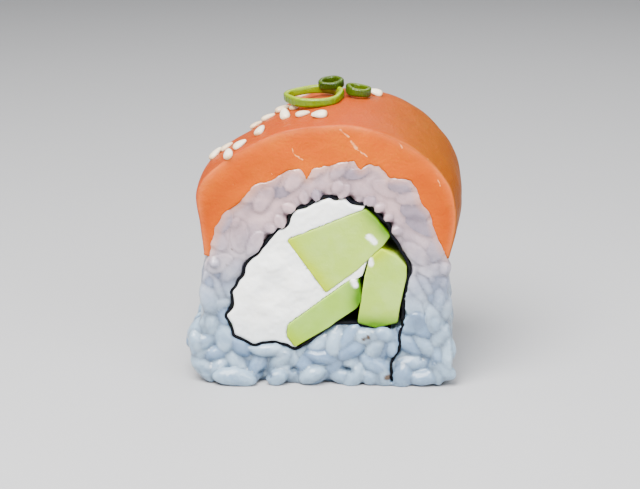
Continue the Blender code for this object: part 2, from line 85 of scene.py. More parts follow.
# Nori: from under the filling round to the floor
NORI_ROUTE = (
    (12.1, 10.7), (9.1, 10.8), (5.6, 11.8), (3.9, 11.9), (2.4, 11.8), (1.2, 11.2), (-0.5, 9.9), (-2.3, 8.6),
    (-4.9, 6.8), (-6.1, 6.9), (-7.2, 7.5), (-9.7, 7.9), (-11.2, 7.7), (-12.8, 7.2), (-14.2, 7.7),
    (-15.3, 8.4), (-16.7, 9.0), (-16.9, 10.0), (-17.3, 11.3), (-18.1, 12.8), (-17.5, 13.7), (-16.9, 14.6),
    (-16.8, 15.7), (-17.1, 17.4), (-16.2, 18.5), (-15.6, 19.6), (-14.9, 20.6), (-14.2, 22.8), (-13.3, 23.9),
    (-12.2, 24.7), (-11.4, 25.9), (-10.4, 26.9), (-9.5, 28.1), (-8.3, 29.3), (-7.2, 29.7), (-6.5, 30.5),
    (-6.2, 31.7), (-5.6, 32.7), (-4.6, 33.3), (-3.3, 33.7), (-1.7, 34.5), (-0.5, 35.0), (0.8, 35.4),
    (2.0, 34.9), (3.8, 35.4), (5.0, 34.3), (7.5, 34.0), (8.7, 33.3), (9.4, 32.2), (10.5, 31.3),
    (11.6, 30.2), (12.1, 28.4), (13.0, 27.1), (13.7, 25.5), (14.8, 23.8), (15.4, 22.0), (15.0, 20.0),
    (14.7, 17.4), (14.2, 14.4), (14.4, 12.3), (13.8, 10.2), (13.5, 9.1), (13.7, 7.9), (13.4, 6.6),
    (12.7, 5.4), (12.2, 4.1), (12.3, 2.5), (12.5, 0.9),
)
NORI_SET_BACK = 0.4  # from the cut faces
NORI_ROUNDING = 0.18
FILLING_TO = 0.9  # share of the nori's length that goes round the filling, before its tail

# Filling: the cheese's middle, where it leaves the nori, and the line that closes it inside the sticks
CHEESE_MIDDLE = (-5.0, 20.0)
CHEESE_STARTS = (-5.0, 6.5)
CHEESE_ENDS = (7.6, 34.4)
CHEESE_REACH = (13.45, 13.3)  # to the front and back
CHEESE_LUMPS = ((0.34, 4.5, 31), (0.16, 1.6, 32), (0.06, 0.7, 33))  # on its cut faces: amount, size and seed
CHEESE_CLOSING = ((4.6, 30.6), (8.1, 24.9), (6.9, 20.9), (5.0, 19.6), (-1.5, 12.5))
# Sticks: corners as (x, z), the lines along which skin and pith show and a wet glint is painted in the
# cheese's colour, the reach to the front and back, how much the stick swells and leans towards the back, and
# how dark it is
STICK_CORNER_RADIUS = 0.35
STICKS = {
    "cucumber_top": {
        "corners": (
            (-6.9, 27.4), (7.3, 33.3), (9.4, 31.4), (11.8, 28.3), (10.6, 26.6), (6.0, 22.0), (0.2, 17.5),
        ),
        "skin": ((8.9, 33.6), (12.9, 28.6)),
        "pith": ((-7.4, 27.2), (0.0, 17.2)),
        "painted_glint": ((8.0, 28.2), (9.0, 27.2)),
        "reach": (13.45, 13.5),
        "swell": 0.02,
        "lean": 0.0,
        "shaded": 0.0,
    },
    "cucumber_low": {
        "corners": (
            (-6.7, 11.4), (4.9, 20.3), (6.2, 20.3), (6.8, 16.4), (5.9, 14.8), (2.2, 12.2), (0.9, 11.1),
            (-5.5, 7.1), (-6.9, 9.2),
        ),
        "skin": ((7.2, 20.6), (7.2, 15.0)),
        "pith": ((-7.4, 9.2), (-5.4, 6.8)),
        "painted_glint": ((5.2, 20.1), (5.6, 19.2)),
        "reach": (13.75, 13.3),
        "swell": 0.0,
        "lean": 1.3,
        "shaded": 1.0,
    },
    "cucumber_right": {
        "corners": (
            (8.1, 24.2), (10.2, 26.1), (13.0, 24.7), (14.8, 22.7), (14.8, 20.7), (13.7, 15.2), (13.3, 12.1),
            (9.4, 11.0), (6.0, 11.9), (7.2, 20.6),
        ),
        "skin": ((6.6, 10.9), (13.2, 10.7)),
        "pith": ((7.6, 24.4), (10.4, 26.4)),
        "painted_glint": ((8.2, 23.9), (8.4, 23.2)),
        "reach": (13.6, 13.4),
        "swell": 0.04,
        "lean": 0.0,
        "shaded": 0.2,
    },
}

# Salmon: a slab between the arch and this route, left to right
SALMON_ROUTE = (
    (-21.9, 24.3), (-22.4, 30.0), (-22.8, 35.6), (-20.6, 39.8), (-15.1, 43.7), (-8.9, 46.8), (-1.6, 48.3),
    (5.6, 48.5), (12.4, 46.3), (18.0, 42.9), (22.3, 38.0), (23.5, 33.2), (23.2, 28.8), (22.3, 24.5),
)
SALMON_ROUNDING = 0.4
SALMON_TOP_LUMPS = ((0.22, 7.0, 71), (0.08, 2.4, 72))  # amount, size and seed
SALMON_CUT_LUMPS = ((0.14, 3.5, 73), (0.05, 1.2, 74))
SALMON_BULGE = 1.0
SALMON_BULGE_EXPONENT = 2.4
FAT_WAVER = 0.0016  # metres
# Shoulders: share of the route, width as a share, and how much higher the back stands than the front
SALMON_SHOULDERS = ((0.27, 0.09, -1.4), (0.5, 0.1, 1.6), (0.65, 0.09, 1.9), (0.77, 0.07, 1.0))

# Sesame seeds on the salmon: x, y, heading and lean in degrees, and how brown
SESAME = (
    (-20.0, -3.8, 30, 10, 0.1), (-18.2, -4.0, 20, 0, 0.6), (-17.0, -12.4, 85, 15, 0.0),
    (-15.0, -11.0, 8, 15, 0.0), (-14.2, 6.3, 5, 0, 0.5), (-11.0, 1.2, 5, 0, 0.4),
    (-11.5, -8.8, 60, 12, 0.0), (-7.5, -4.4, 95, 35, 0.1),
    (-8.4, 2.3, 30, 0, 0.5), (-6.0, -0.4, 60, 10, 0.3), (-4.3, -6.6, 12, 0, 0.4), (-1.0, -9.1, 176, 20, 0.0),
    (7.5, 7.1, 175, 35, 0.1), (4.5, 12.4, 5, 0, 0.2), (-5.6, 12.2, 40, 0, 0.2), (-3.2, 12.8, 120, 0, 0.0),
    (-0.8, 11.6, 80, 0, 0.1), (0.6, 8.6, 95, 0, 0.3),
)

# Spring onion rings, in the slice's own place: middle, half sizes, height, wall, tilt in degrees and how dark
RINGS = {
    "spring_onion_large": ((-3.0, 0.9, 51.05), (5.5, 5.1), 1.6, 1.0, (5.5, -3.0, 4.0), 0.0),
    "spring_onion_small": ((-0.2, 5.0, 52.75), (2.35, 2.3), 1.5, 0.85, (10.0, -3.0, -10.0), 1.0),
    "spring_onion_right": ((4.9, 3.0, 51.8), (2.3, 2.6), 1.6, 0.85, (6.0, 6.0, 25.0), 0.83),
}

# Camera
VIEW_AZIMUTH = 3.0
VIEW_ELEVATION = 15.5
VIEW_DISTANCE = 333.0
VIEW_LENS = 100.0
AIM_AT = (-1.95, -0.63, 23.1)

# Stage, in metres. Lights: azimuth, elevation, size and colour
FLOOR_HALF = 3.0
LIGHTS = {
    "key": (-24, 56, 0.42, (1.0, 0.99, 0.97)),
    "fill": (42, 26, 0.45, (0.94, 0.97, 1.0)),
    "back": (165, 50, 0.35, (1.0, 1.0, 1.0)),
}
LIGHT_DISTANCE = 0.5
LIGHTS_FACE = (0.0, 0.0, 0.025)
BACK_LIGHT_SHARE = 0.4  # of the fill light's power
SURROUNDINGS = (0.92, 0.95, 1.0, 1.0)
SURROUNDINGS_STRENGTH = 0.3


# Curves across the slice


def resample(path, count):
    """count points evenly spaced by length along a path."""
    steps = np.linalg.norm(np.diff(path, axis=0), axis=1)
    along = np.concatenate([[0.0], np.cumsum(steps)])
    at = np.linspace(0.0, along[-1], count)
    return np.stack([np.interp(at, along, path[:, k]) for k in range(2)], axis=1)


def smooth_path(points, count):
    """A Catmull-Rom curve through the points, evenly spaced."""
    points = np.asarray(points, float)
    padded = np.vstack([2 * points[0] - points[1], points, 2 * points[-1] - points[-2]])
    t = np.linspace(0.0, 1.0, 10, endpoint=False)[:, None]
    spans = [
        b + 0.5 * ((c - a) * t + (2 * a - 5 * b + 4 * c - d) * t**2 + (3 * b - a - 3 * c + d) * t**3)
        for a, b, c, d in zip(padded, padded[1:], padded[2:], padded[3:])
    ]
    return resample(np.vstack([*spans, points[-1:]]), count)


def left_of(path):
    """Unit vectors to the left of a path's direction."""
    tangent = np.gradient(path, axis=0)
    tangent /= np.linalg.norm(tangent, axis=1, keepdims=True)
    return np.stack([-tangent[:, 1], tangent[:, 0]], axis=1)


def nori_path(count, offset=0.0):
    """Middle of the nori, moved sideways by offset and by a little noise."""
    path = smooth_path(NORI_ROUTE, count)
    press = 0.12 * lumps(np.insert(path, 1, 0.0, axis=1), 1.3, 22)
    return path + left_of(path) * (press + offset)[:, None]


def rice_outline(count, arch=None):
    """Outer edge of the rice: left wall, arch and right wall, closed by the base."""
    if arch is None:
        arch = smooth_path(ARCH_ROUTE, 60)
    path = np.vstack([LEFT_WALL[::-1], arch, RIGHT_WALL, LEFT_WALL[-1:]])
    return resample(path, count + 1)[:-1]


def arch_border(side, stations):
    """Where the rice meets the salmon on the front (side -1) or back cut face.

    It is the arch's route, moved across: in front as FRONT_EDGE has it, and on the back the other way round.
    """
    arch = smooth_path(ARCH_ROUTE, stations)
    out = left_of(arch)
    edge = resample(np.array(FRONT_EDGE), 900)
    station = np.linalg.norm(edge[:, None] - arch, axis=2).argmin(axis=1)
    over = ((edge - arch[station]) * out[station]).sum(axis=1)
    order = np.argsort(station, kind="stable")
    over = np.interp(np.arange(stations), station[order], over[order])[::-side, None]
    place = np.insert(arch, 1, 20.0 * side, axis=1)
    return arch + out * (over + 0.22 * lumps(place, 0.9, 12)[:, None])


def rounded_outline(corners, radius, count):
    """A convex outline whose corners are arcs: the outline drawn in by radius, with a circle run round it."""
    corners = np.asarray(corners, float)
    middle = corners.mean(axis=0)
    edges = np.roll(corners, -1, axis=0) - corners
    normals = np.stack([edges[:, 1], -edges[:, 0]], axis=1)
    normals /= np.linalg.norm(normals, axis=1, keepdims=True)
    outward = np.sign(((corners - middle) * normals).sum(axis=1, keepdims=True))
    normals *= outward
    before = np.roll(normals, 1, axis=0)
    drawn_in = corners - radius * (normals + before) / (1 + (normals * before).sum(axis=1, keepdims=True))
    t = np.linspace(0.0, 1.0, 7)[None, :, None]
    arc = before[:, None] * (1 - t) + normals[:, None] * t
    arc /= np.linalg.norm(arc, axis=2, keepdims=True)
    loop = (drawn_in[:, None] + radius * arc).reshape(-1, 2)
    return resample(np.vstack([loop, loop[:1]]), count + 1)[:-1]


def inside(points, outline):
    """Whether points lie inside a closed outline, by counting edges crossed to the right."""
    after = np.roll(outline, -1, axis=0)
    x, z = points[..., :1], points[..., 1:]
    crossing = (outline[:, 1] > z) != (after[:, 1] > z)
    rise = np.where(after[:, 1] == outline[:, 1], 1.0, after[:, 1] - outline[:, 1])
    at = outline[:, 0] + (z - outline[:, 1]) / rise * (after[:, 0] - outline[:, 0])
    return (crossing & (at > x)).sum(axis=-1) % 2 == 1


def wall(route, z):
    """X of a rice wall at height z."""
    x, height = np.asarray(route[::-1]).T
    return np.interp(z, height, x)


# Surfaces


def lumps(points, size, seed):
    """Smooth random values from -1 to 1: a lattice of random numbers, eased between its nodes."""
    table = np.random.default_rng(seed).uniform(-1.0, 1.0, (32, 32, 32))
    place = np.asarray(points, float) / size
    low = np.floor(place).astype(int)
    share = place - low
    share = share * share * (3 - 2 * share)
    total = np.zeros(place.shape[:-1])
    for corner in np.ndindex(2, 2, 2):
        weight = np.prod(np.where(corner, share, 1 - share), axis=-1)
        node = (low + corner) % 32
        total += weight * table[node[..., 0], node[..., 1], node[..., 2]]
    return total


def unevenness(points, layers):
    """Sum of lumps for layers of (amount, size, seed)."""
    return sum(amount * lumps(points, size, seed) for amount, size, seed in layers)


def grid_faces(rows, columns, ring=False):
    """Quads of a grid, closed round its columns, and from the last row to the first for a ring."""
    row, column = np.meshgrid(np.arange(rows if ring else rows - 1), np.arange(columns), indexing="ij")
    below, following = (row + 1) % rows, (column + 1) % columns
    corners = [row * columns + column, row * columns + following]
    corners += [below * columns + following, below * columns + column]
    return np.stack(corners, axis=-1).reshape(-1, 4)


def closed_tube(grid):
    """(points, faces) of a grid of rings, with both end rings closed onto their middles."""
    rows, columns = grid.shape[:2]
    points = np.vstack([grid.reshape(-1, 3), grid[:1].mean(axis=1), grid[-1:].mean(axis=1)])
    faces = grid_faces(rows, columns).tolist()
    ring = np.arange(columns)
    following = (ring + 1) % columns
    start, end = rows * columns, rows * columns + 1
    last = (rows - 1) * columns
    faces += np.stack([following, ring, np.full(columns, start)], axis=1).tolist()
    faces += np.stack([last + ring, last + following, np.full(columns, end)], axis=1).tolist()
    return points, faces


def with_ends(values, ends=(0.0, 0.0)):
    """Values on a grid's points in a row, then those on the two end middles that closed_tube adds."""
    return np.append(values.reshape(-1), ends)


def point_normals(points, faces):
    """Unit normals at the points: the sum of the normals of the faces that meet there."""
    normals = np.zeros_like(points)
    for corners in (3, 4):
        group = np.array([face for face in faces if len(face) == corners])
        if len(group):
            a, b, c = points[group[:, 0]], points[group[:, 1]], points[group[:, 2]]
            normal = np.cross(b - a, c - a)
            for k in range(corners):
                np.add.at(normals, group[:, k], normal)
    length = np.linalg.norm(normals, axis=1, keepdims=True)
    return normals / np.where(length == 0, 1.0, length)


def placed(points):
    """Points of the straight roll in millimetres, set as the slanting cut has them, in metres."""
    points = np.array(points, float)
    points[:, 0] += SKEW * points[:, 1] + SHIFT_X
    return points * MM


def add_piece(name, points, faces, material, nodes=(), values=None, straight=True):
    """A smooth closed mesh that rides on the slice and stands for the named solids."""
    mesh = bpy.data.meshes.new(name)
    points = placed(points) if straight else np.asarray(points) * MM
    mesh.from_pydata(points.tolist(), [], [tuple(face) for face in faces])
    for title, numbers in (values or {}).items():
        layer = mesh.attributes.new(title, "FLOAT", "POINT")
        layer.data.foreach_set("value", np.asarray(numbers, np.float32))
    work = bmesh.new()
    work.from_mesh(mesh)
    bmesh.ops.recalc_face_normals(work, faces=work.faces)
    work.to_mesh(mesh)
    work.free()
    mesh.shade_smooth()
    mesh.materials.append(material)
    piece = bpy.data.objects.new(name, mesh)
    bpy.context.scene.collection.objects.link(piece)
    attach(piece, "root")
    if nodes:
        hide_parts(*nodes)
    return piece


def section_loop(across, along, corner):
    """A rounded rectangle, as steps of a loop: the place on the inner rectangle (-1 to 1) and the way out.

    It runs over the front cut face, the outer side, the back cut face and the inner side.
    """
    turn = np.linspace(0, math.pi / 2, corner + 2)[1:-1]
    sides = []
    for quarter, count in enumerate((across, along, across, along // 4)):
        a = quarter * math.pi / 2
        ahead, out = np.array([math.cos(a), math.sin(a)]), np.array([math.sin(a), -math.cos(a)])
        t = np.linspace(-1, 1, count)[:, None]
        sides.append(np.hstack([t * ahead + out, np.tile(out, (count, 1))]))
        arc = np.cos(turn)[:, None] * out + np.sin(turn)[:, None] * ahead
        sides.append(np.hstack([np.tile(ahead + out, (corner, 1)), arc]))
    loop = np.vstack(sides)
    return loop[:, :2], loop[:, 2:]


def slab(inner, outer, half_depth, rounding, section):
    """Grid of a slab between two paths. Each station is a section, as section_loop gives it."""
    place, way = section
    middle, reach = (inner + outer) / 2, (outer - inner) / 2
    half_width = np.linalg.norm(reach, axis=1, keepdims=True)
    direction = reach / half_width
    radius = np.minimum(rounding, 0.9 * half_width)
    over = place[:, 0] * (half_width - radius) + way[:, 0] * radius
    y = place[:, 1] * (half_depth - radius) + way[:, 1] * radius
    xz = middle[:, None] + direction[:, None] * over[..., None]
    return np.stack([xz[..., 0], y, xz[..., 1]], axis=-1)


def disc(outline, middle, front, back, rounding, rings, depth_steps):
    """(grid, share) of a block: rings from the front's middle out to the outline, over it and in on the back.

    share is 0 at the middle of a cut face and 1 at its edge.
    """
    share = 1 - (1 - np.linspace(0.04, 1.0, rings)) ** 1.3
    depth = np.linspace(0, 1, depth_steps + 2)[1:-1]
    span = np.linalg.norm(outline - middle, axis=1).mean()
    ease = 1 - np.sqrt(np.clip(1 - np.clip((share - 1) * span / rounding + 1, 0, 1) ** 2, 0, 1))
    out = np.concatenate([share, np.ones(depth_steps), share[::-1]])
    drop = rounding * ease
    side = -front + rounding + depth * (front + back - 2 * rounding)
    y = np.concatenate([-front + drop, side, back - drop[::-1]])
    xz = middle + (outline[None] - middle) * out[:, None, None]
    grid = np.stack([xz[..., 0], np.repeat(y[:, None], len(outline), axis=1), xz[..., 1]], axis=-1)
    return grid, np.repeat(out[:, None], len(outline), axis=1)


# Settings and materials


def colour_setting(name, description, default):
    return FloatVectorProperty(name=name, description=description, subtype="COLOR", default=default)


def length_setting(name, description, default):
    return FloatProperty(name=name, description=description, default=default, unit="LENGTH")


def new_material(name, roughness, specular=None, ior=None, scatter=(), coat=()):
    """A Principled material with constants on the shader's own sockets.

    scatter is the subsurface weight, radius and scale, and coat the coat's weight and roughness.
    """
    material = bpy.data.materials.new(name)
    material.use_nodes = True
    shader = material.node_tree.nodes["Principled BSDF"]
    sockets = {"Roughness": roughness, "Specular IOR Level": specular, "IOR": ior}
    sockets.update(zip(("Subsurface Weight", "Subsurface Radius", "Subsurface Scale"), scatter))
    sockets.update(zip(("Coat Weight", "Coat Roughness"), coat))
    for socket, value in sockets.items():
        if value is not None:
            shader.inputs[socket].default_value = value
    return material, material.node_tree, shader


def add_node(tree, kind, inputs=None, **settings):
    """A node with its settings, and inputs set from values or linked from sockets."""
    node = tree.nodes.new(kind)
    for key, value in settings.items():
        setattr(node, key, value)
    for key, value in (inputs or {}).items():
        if isinstance(value, bpy.types.NodeSocket):
            tree.links.new(value, node.inputs[key])
        else:
            node.inputs[key].default_value = value
    return node


def maths(tree, operation, first, second, **settings):
    return add_node(tree, "ShaderNodeMath", {0: first, 1: second}, operation=operation, **settings).outputs[0]


def vectors(tree, operation, first, second):
    """Vector maths, giving a value for a distance or a dot product and a vector for the rest."""
    inputs = {0: first, "Scale" if operation == "SCALE" else 1: second}
    gives = "Value" if operation in ("DISTANCE", "DOT_PRODUCT") else "Vector"
    return add_node(tree, "ShaderNodeVectorMath", inputs, operation=operation).outputs[gives]


def ramp(tree, factor, low, high):
    """0 at low, 1 at high, eased between and level beyond."""
    inputs = {"Value": factor, "From Min": low, "From Max": high}
    return add_node(tree, "ShaderNodeMapRange", inputs, interpolation_type="SMOOTHSTEP").outputs["Result"]


def blend_colours(tree, factor, first, second, mode="MIX"):
    inputs = {0: factor}
    for index, colour in ((6, first), (7, second)):
        inputs[index] = colour if isinstance(colour, bpy.types.NodeSocket) else (*colour[:3], 1.0)
    return add_node(tree, "ShaderNodeMix", inputs, data_type="RGBA", blend_type=mode).outputs[2]


def attribute(tree, name):
    return add_node(tree, "ShaderNodeAttribute", attribute_name=name).outputs["Fac"]


def object_place(tree):
    return add_node(tree, "ShaderNodeTexCoord").outputs["Object"]


def height_in_slice(tree):
    return add_node(tree, "ShaderNodeSeparateXYZ", {0: object_place(tree)}).outputs["Z"]


def noise(tree, scale, detail):
    """Outputs of a noise over the object's own coordinates."""
    inputs = {"Vector": object_place(tree), "Scale": scale, "Detail": detail}
    return add_node(tree, "ShaderNodeTexNoise", inputs).outputs


def mottle(group, given):
    """Two colours mixed by soft noise."""
    patches = ramp(group, noise(group, given["Scale"], 3.0)["Fac"], 0.35, 0.68)
    share = maths(group, "MULTIPLY", patches, given["Amount"])
    return blend_colours(group, share, given["Colour"], given["Patches"])


def moist_relief(group, given):
    """Height of moist food: soft noise and a share of finer noise."""
    soft, fine = (noise(group, given[title], 2.0)["Fac"] for title in ("Soft Scale", "Fine Scale"))
    return maths(group, "ADD", soft, maths(group, "MULTIPLY", fine, given["Fine Share"]))


def streak(group, given):
    """Mask of a wavering line between two points of the straight cut face, seen from the front."""
    flat = vectors(group, "MULTIPLY", object_place(group), (1.0, 0.0, 1.0))
    centred = vectors(group, "SUBTRACT", noise(group, 420.0, 3.0)["Color"], (0.5, 0.5, 0.5))
    here = vectors(group, "ADD", flat, vectors(group, "SCALE", centred, given["Waver"]))
    run = vectors(group, "SUBTRACT", given["End"], given["Start"])
    offset = vectors(group, "SUBTRACT", here, given["Start"])
    along, length = (vectors(group, "DOT_PRODUCT", vector, run) for vector in (offset, run))
    nearest = vectors(group, "SCALE", run, maths(group, "DIVIDE", along, length, use_clamp=True))
    ratio = maths(group, "DIVIDE", vectors(group, "DISTANCE", offset, nearest), given["Width"])
    return maths(group, "SUBTRACT", 1.0, ramp(group, ratio, 0.25, 1.0))


# Shader groups: what fills each, its output and its inputs
GROUPS = {
    "mottle": (
        mottle, "Colour",
        {"Colour": (0.8, 0.8, 0.8, 1.0), "Patches": (0.5, 0.5, 0.5, 1.0), "Amount": 0.5, "Scale": 400.0},
    ),
    "moist relief": (moist_relief, "Height", {"Soft Scale": 500.0, "Fine Scale": 2500.0, "Fine Share": 0.3}),
    "streak": (
        streak, "Mask",
        {"Start": (0.0, 0.0, 0.0), "End": (0.01, 0.0, 0.0), "Width": 0.0004, "Waver": 0.0006},
    ),
}
SOCKETS = {1: "NodeSocketFloat", 3: "NodeSocketVector", 4: "NodeSocketColor"}


def use_group(tree, name, inputs):
    """The output of one of the shader groups, which is made when it is first used."""
    fill, output, defaults = GROUPS[name]
    group = bpy.data.node_groups.get(name)
    if group is None:
        group = bpy.data.node_groups.new(name, "ShaderNodeTree")
        for title, value in defaults.items():
            socket = group.interface.new_socket(title, in_out="INPUT", socket_type=SOCKETS[np.size(value)])
            socket.default_value = value
        kind = SOCKETS[4 if output == "Colour" else 1]
        group.interface.new_socket(output, in_out="OUTPUT", socket_type=kind)
        given, result = group.nodes.new("NodeGroupInput"), group.nodes.new("NodeGroupOutput")
        group.links.new(fill(group, given.outputs), result.inputs[output])
    return add_node(tree, "ShaderNodeGroup", inputs, node_tree=group).outputs[output]


def mottled(tree, colour, patches, amount, scale):
    inputs = {"Colour": (*colour, 1.0), "Patches": (*patches, 1.0), "Amount": amount, "Scale": scale}
    return use_group(tree, "mottle", inputs)


def finish(tree, shader, colour, relief, depth, strength=1.0):
    """Gives the shader its colour and a bump. relief is the moist relief's two scales and fine share."""
    height = use_group(tree, "moist relief", dict(zip(("Soft Scale", "Fine Scale", "Fine Share"), relief)))
    bump = add_node(tree, "ShaderNodeBump", {"Height": height, "Strength": strength, "Distance": depth})
    tree.links.new(colour, shader.inputs["Base Color"])
    tree.links.new(bump.outputs["Normal"], shader.inputs["Normal"])


# Rice


def lattice_axis(*runs):
    """Places along one axis: runs of (start, step), each up to the next one's start, then (end,)."""
    ends = [run[0] for run in runs[1:]]
    return np.concatenate([np.arange(start, end - 1e-6, step) for (start, step), end in zip(runs, ends)])


def field_surface(values, axes):
    """(points, faces, cells) of the surface where values on a lattice cross zero, below zero being inside.

    Each crossed cell has one point, the mean of the crossings on its twelve edges. Each crossed lattice edge
    gives the quad between the four cells round it.
    """
    below = values < 0
    cells = np.array(values.shape) - 1
    total = np.zeros((*cells, 3))
    count = np.zeros(cells)
    crossings = []
    for axis in range(3):
        u, v = (axis + 1) % 3, (axis + 2) % 3
        first = np.moveaxis(values, axis, 0)[:-1]
        second = np.moveaxis(values, axis, 0)[1:]
        crossed = (first < 0) != (second < 0)
        share = np.where(crossed, first / np.where(crossed, first - second, 1.0), 0.0)
        crossed, share = (np.moveaxis(array, 0, axis) for array in (crossed, share))
        crossings.append(crossed)
        for du in (0, 1):
            for dv in (0, 1):
                window = [slice(None)] * 3
                window[u] = slice(du, du + cells[u])
                window[v] = slice(dv, dv + cells[v])
                hit = crossed[tuple(window)]
                total[..., axis] += share[tuple(window)]
                total[..., u] += du * hit
                total[..., v] += dv * hit
                count += hit
    active = count > 0
    cell = np.argwhere(active)
    place = cell + total[active] / count[active][:, None]
    points = np.stack([np.interp(place[:, k], np.arange(len(axes[k])), axes[k]) for k in range(3)], axis=1)
    number = np.full(cells, -1)
    number[active] = np.arange(len(cell))
    faces = []
    for axis, crossed in enumerate(crossings):
        u, v = (axis + 1) % 3, (axis + 2) % 3
        node = np.argwhere(crossed)
        round_it = []
        for du, dv in ((1, 1), (0, 1), (0, 0), (1, 0)):
            step = np.zeros(3, int)
            step[u], step[v] = du, dv
            round_it.append(number[tuple((node - step).T)])
        quads = np.stack(round_it, axis=1)
        outward = below[tuple(node.T)]
        faces.append(np.where(outward[:, None], quads, quads[:, ::-1]))
    return points, np.vstack(faces), cell


def grain_axes(heading, out, roll):
    """Columns of (length, width, thickness) directions, turned by roll round the length."""
    length = heading / np.linalg.norm(heading, axis=1, keepdims=True)
    side = np.cross(out, length)
    side /= np.linalg.norm(side, axis=1, keepdims=True)
    up = np.cross(length, side)
    c, s = np.cos(roll)[:, None], np.sin(roll)[:, None]
    return np.stack([length, c * side + s * up, c * up - s * side], axis=2)


def spread(rng, fits, low, high, heading_of, half, tries, spacing, given=None):
    """Places and headings for grains on a plane: random darts, kept where they fit and keep their distance.

    Two grains keep an oval distance, longer along each one's heading than across it. given are places and
    headings that are kept first.
    """
    places = rng.uniform(low, high, (tries, 2))
    angle = heading_of(places, rng)
    heading = np.stack([np.cos(angle), np.sin(angle)], axis=1)
    good = fits(places, heading)
    places, heading = places[good], heading[good]
    first = 0
    if given is not None:
        first = len(given[0])
        places, heading = np.vstack([given[0], places]), np.vstack([given[1], heading])
    across = np.stack([-heading[:, 1], heading[:, 0]], axis=1)
    kept = list(range(first))
    for index in range(first, len(places)):
        offset = places[kept] - places[index]
        mine = (offset @ heading[index] / half[0]) ** 2 + (offset @ across[index] / half[1]) ** 2
        theirs = ((offset * heading[kept]).sum(axis=1) / half[0]) ** 2
        theirs += ((offset * across[kept]).sum(axis=1) / half[1]) ** 2
        if (np.minimum(mine, theirs) > (2 * spacing) ** 2).all():
            kept.append(index)
    return places[kept[first:]], heading[kept[first:]]


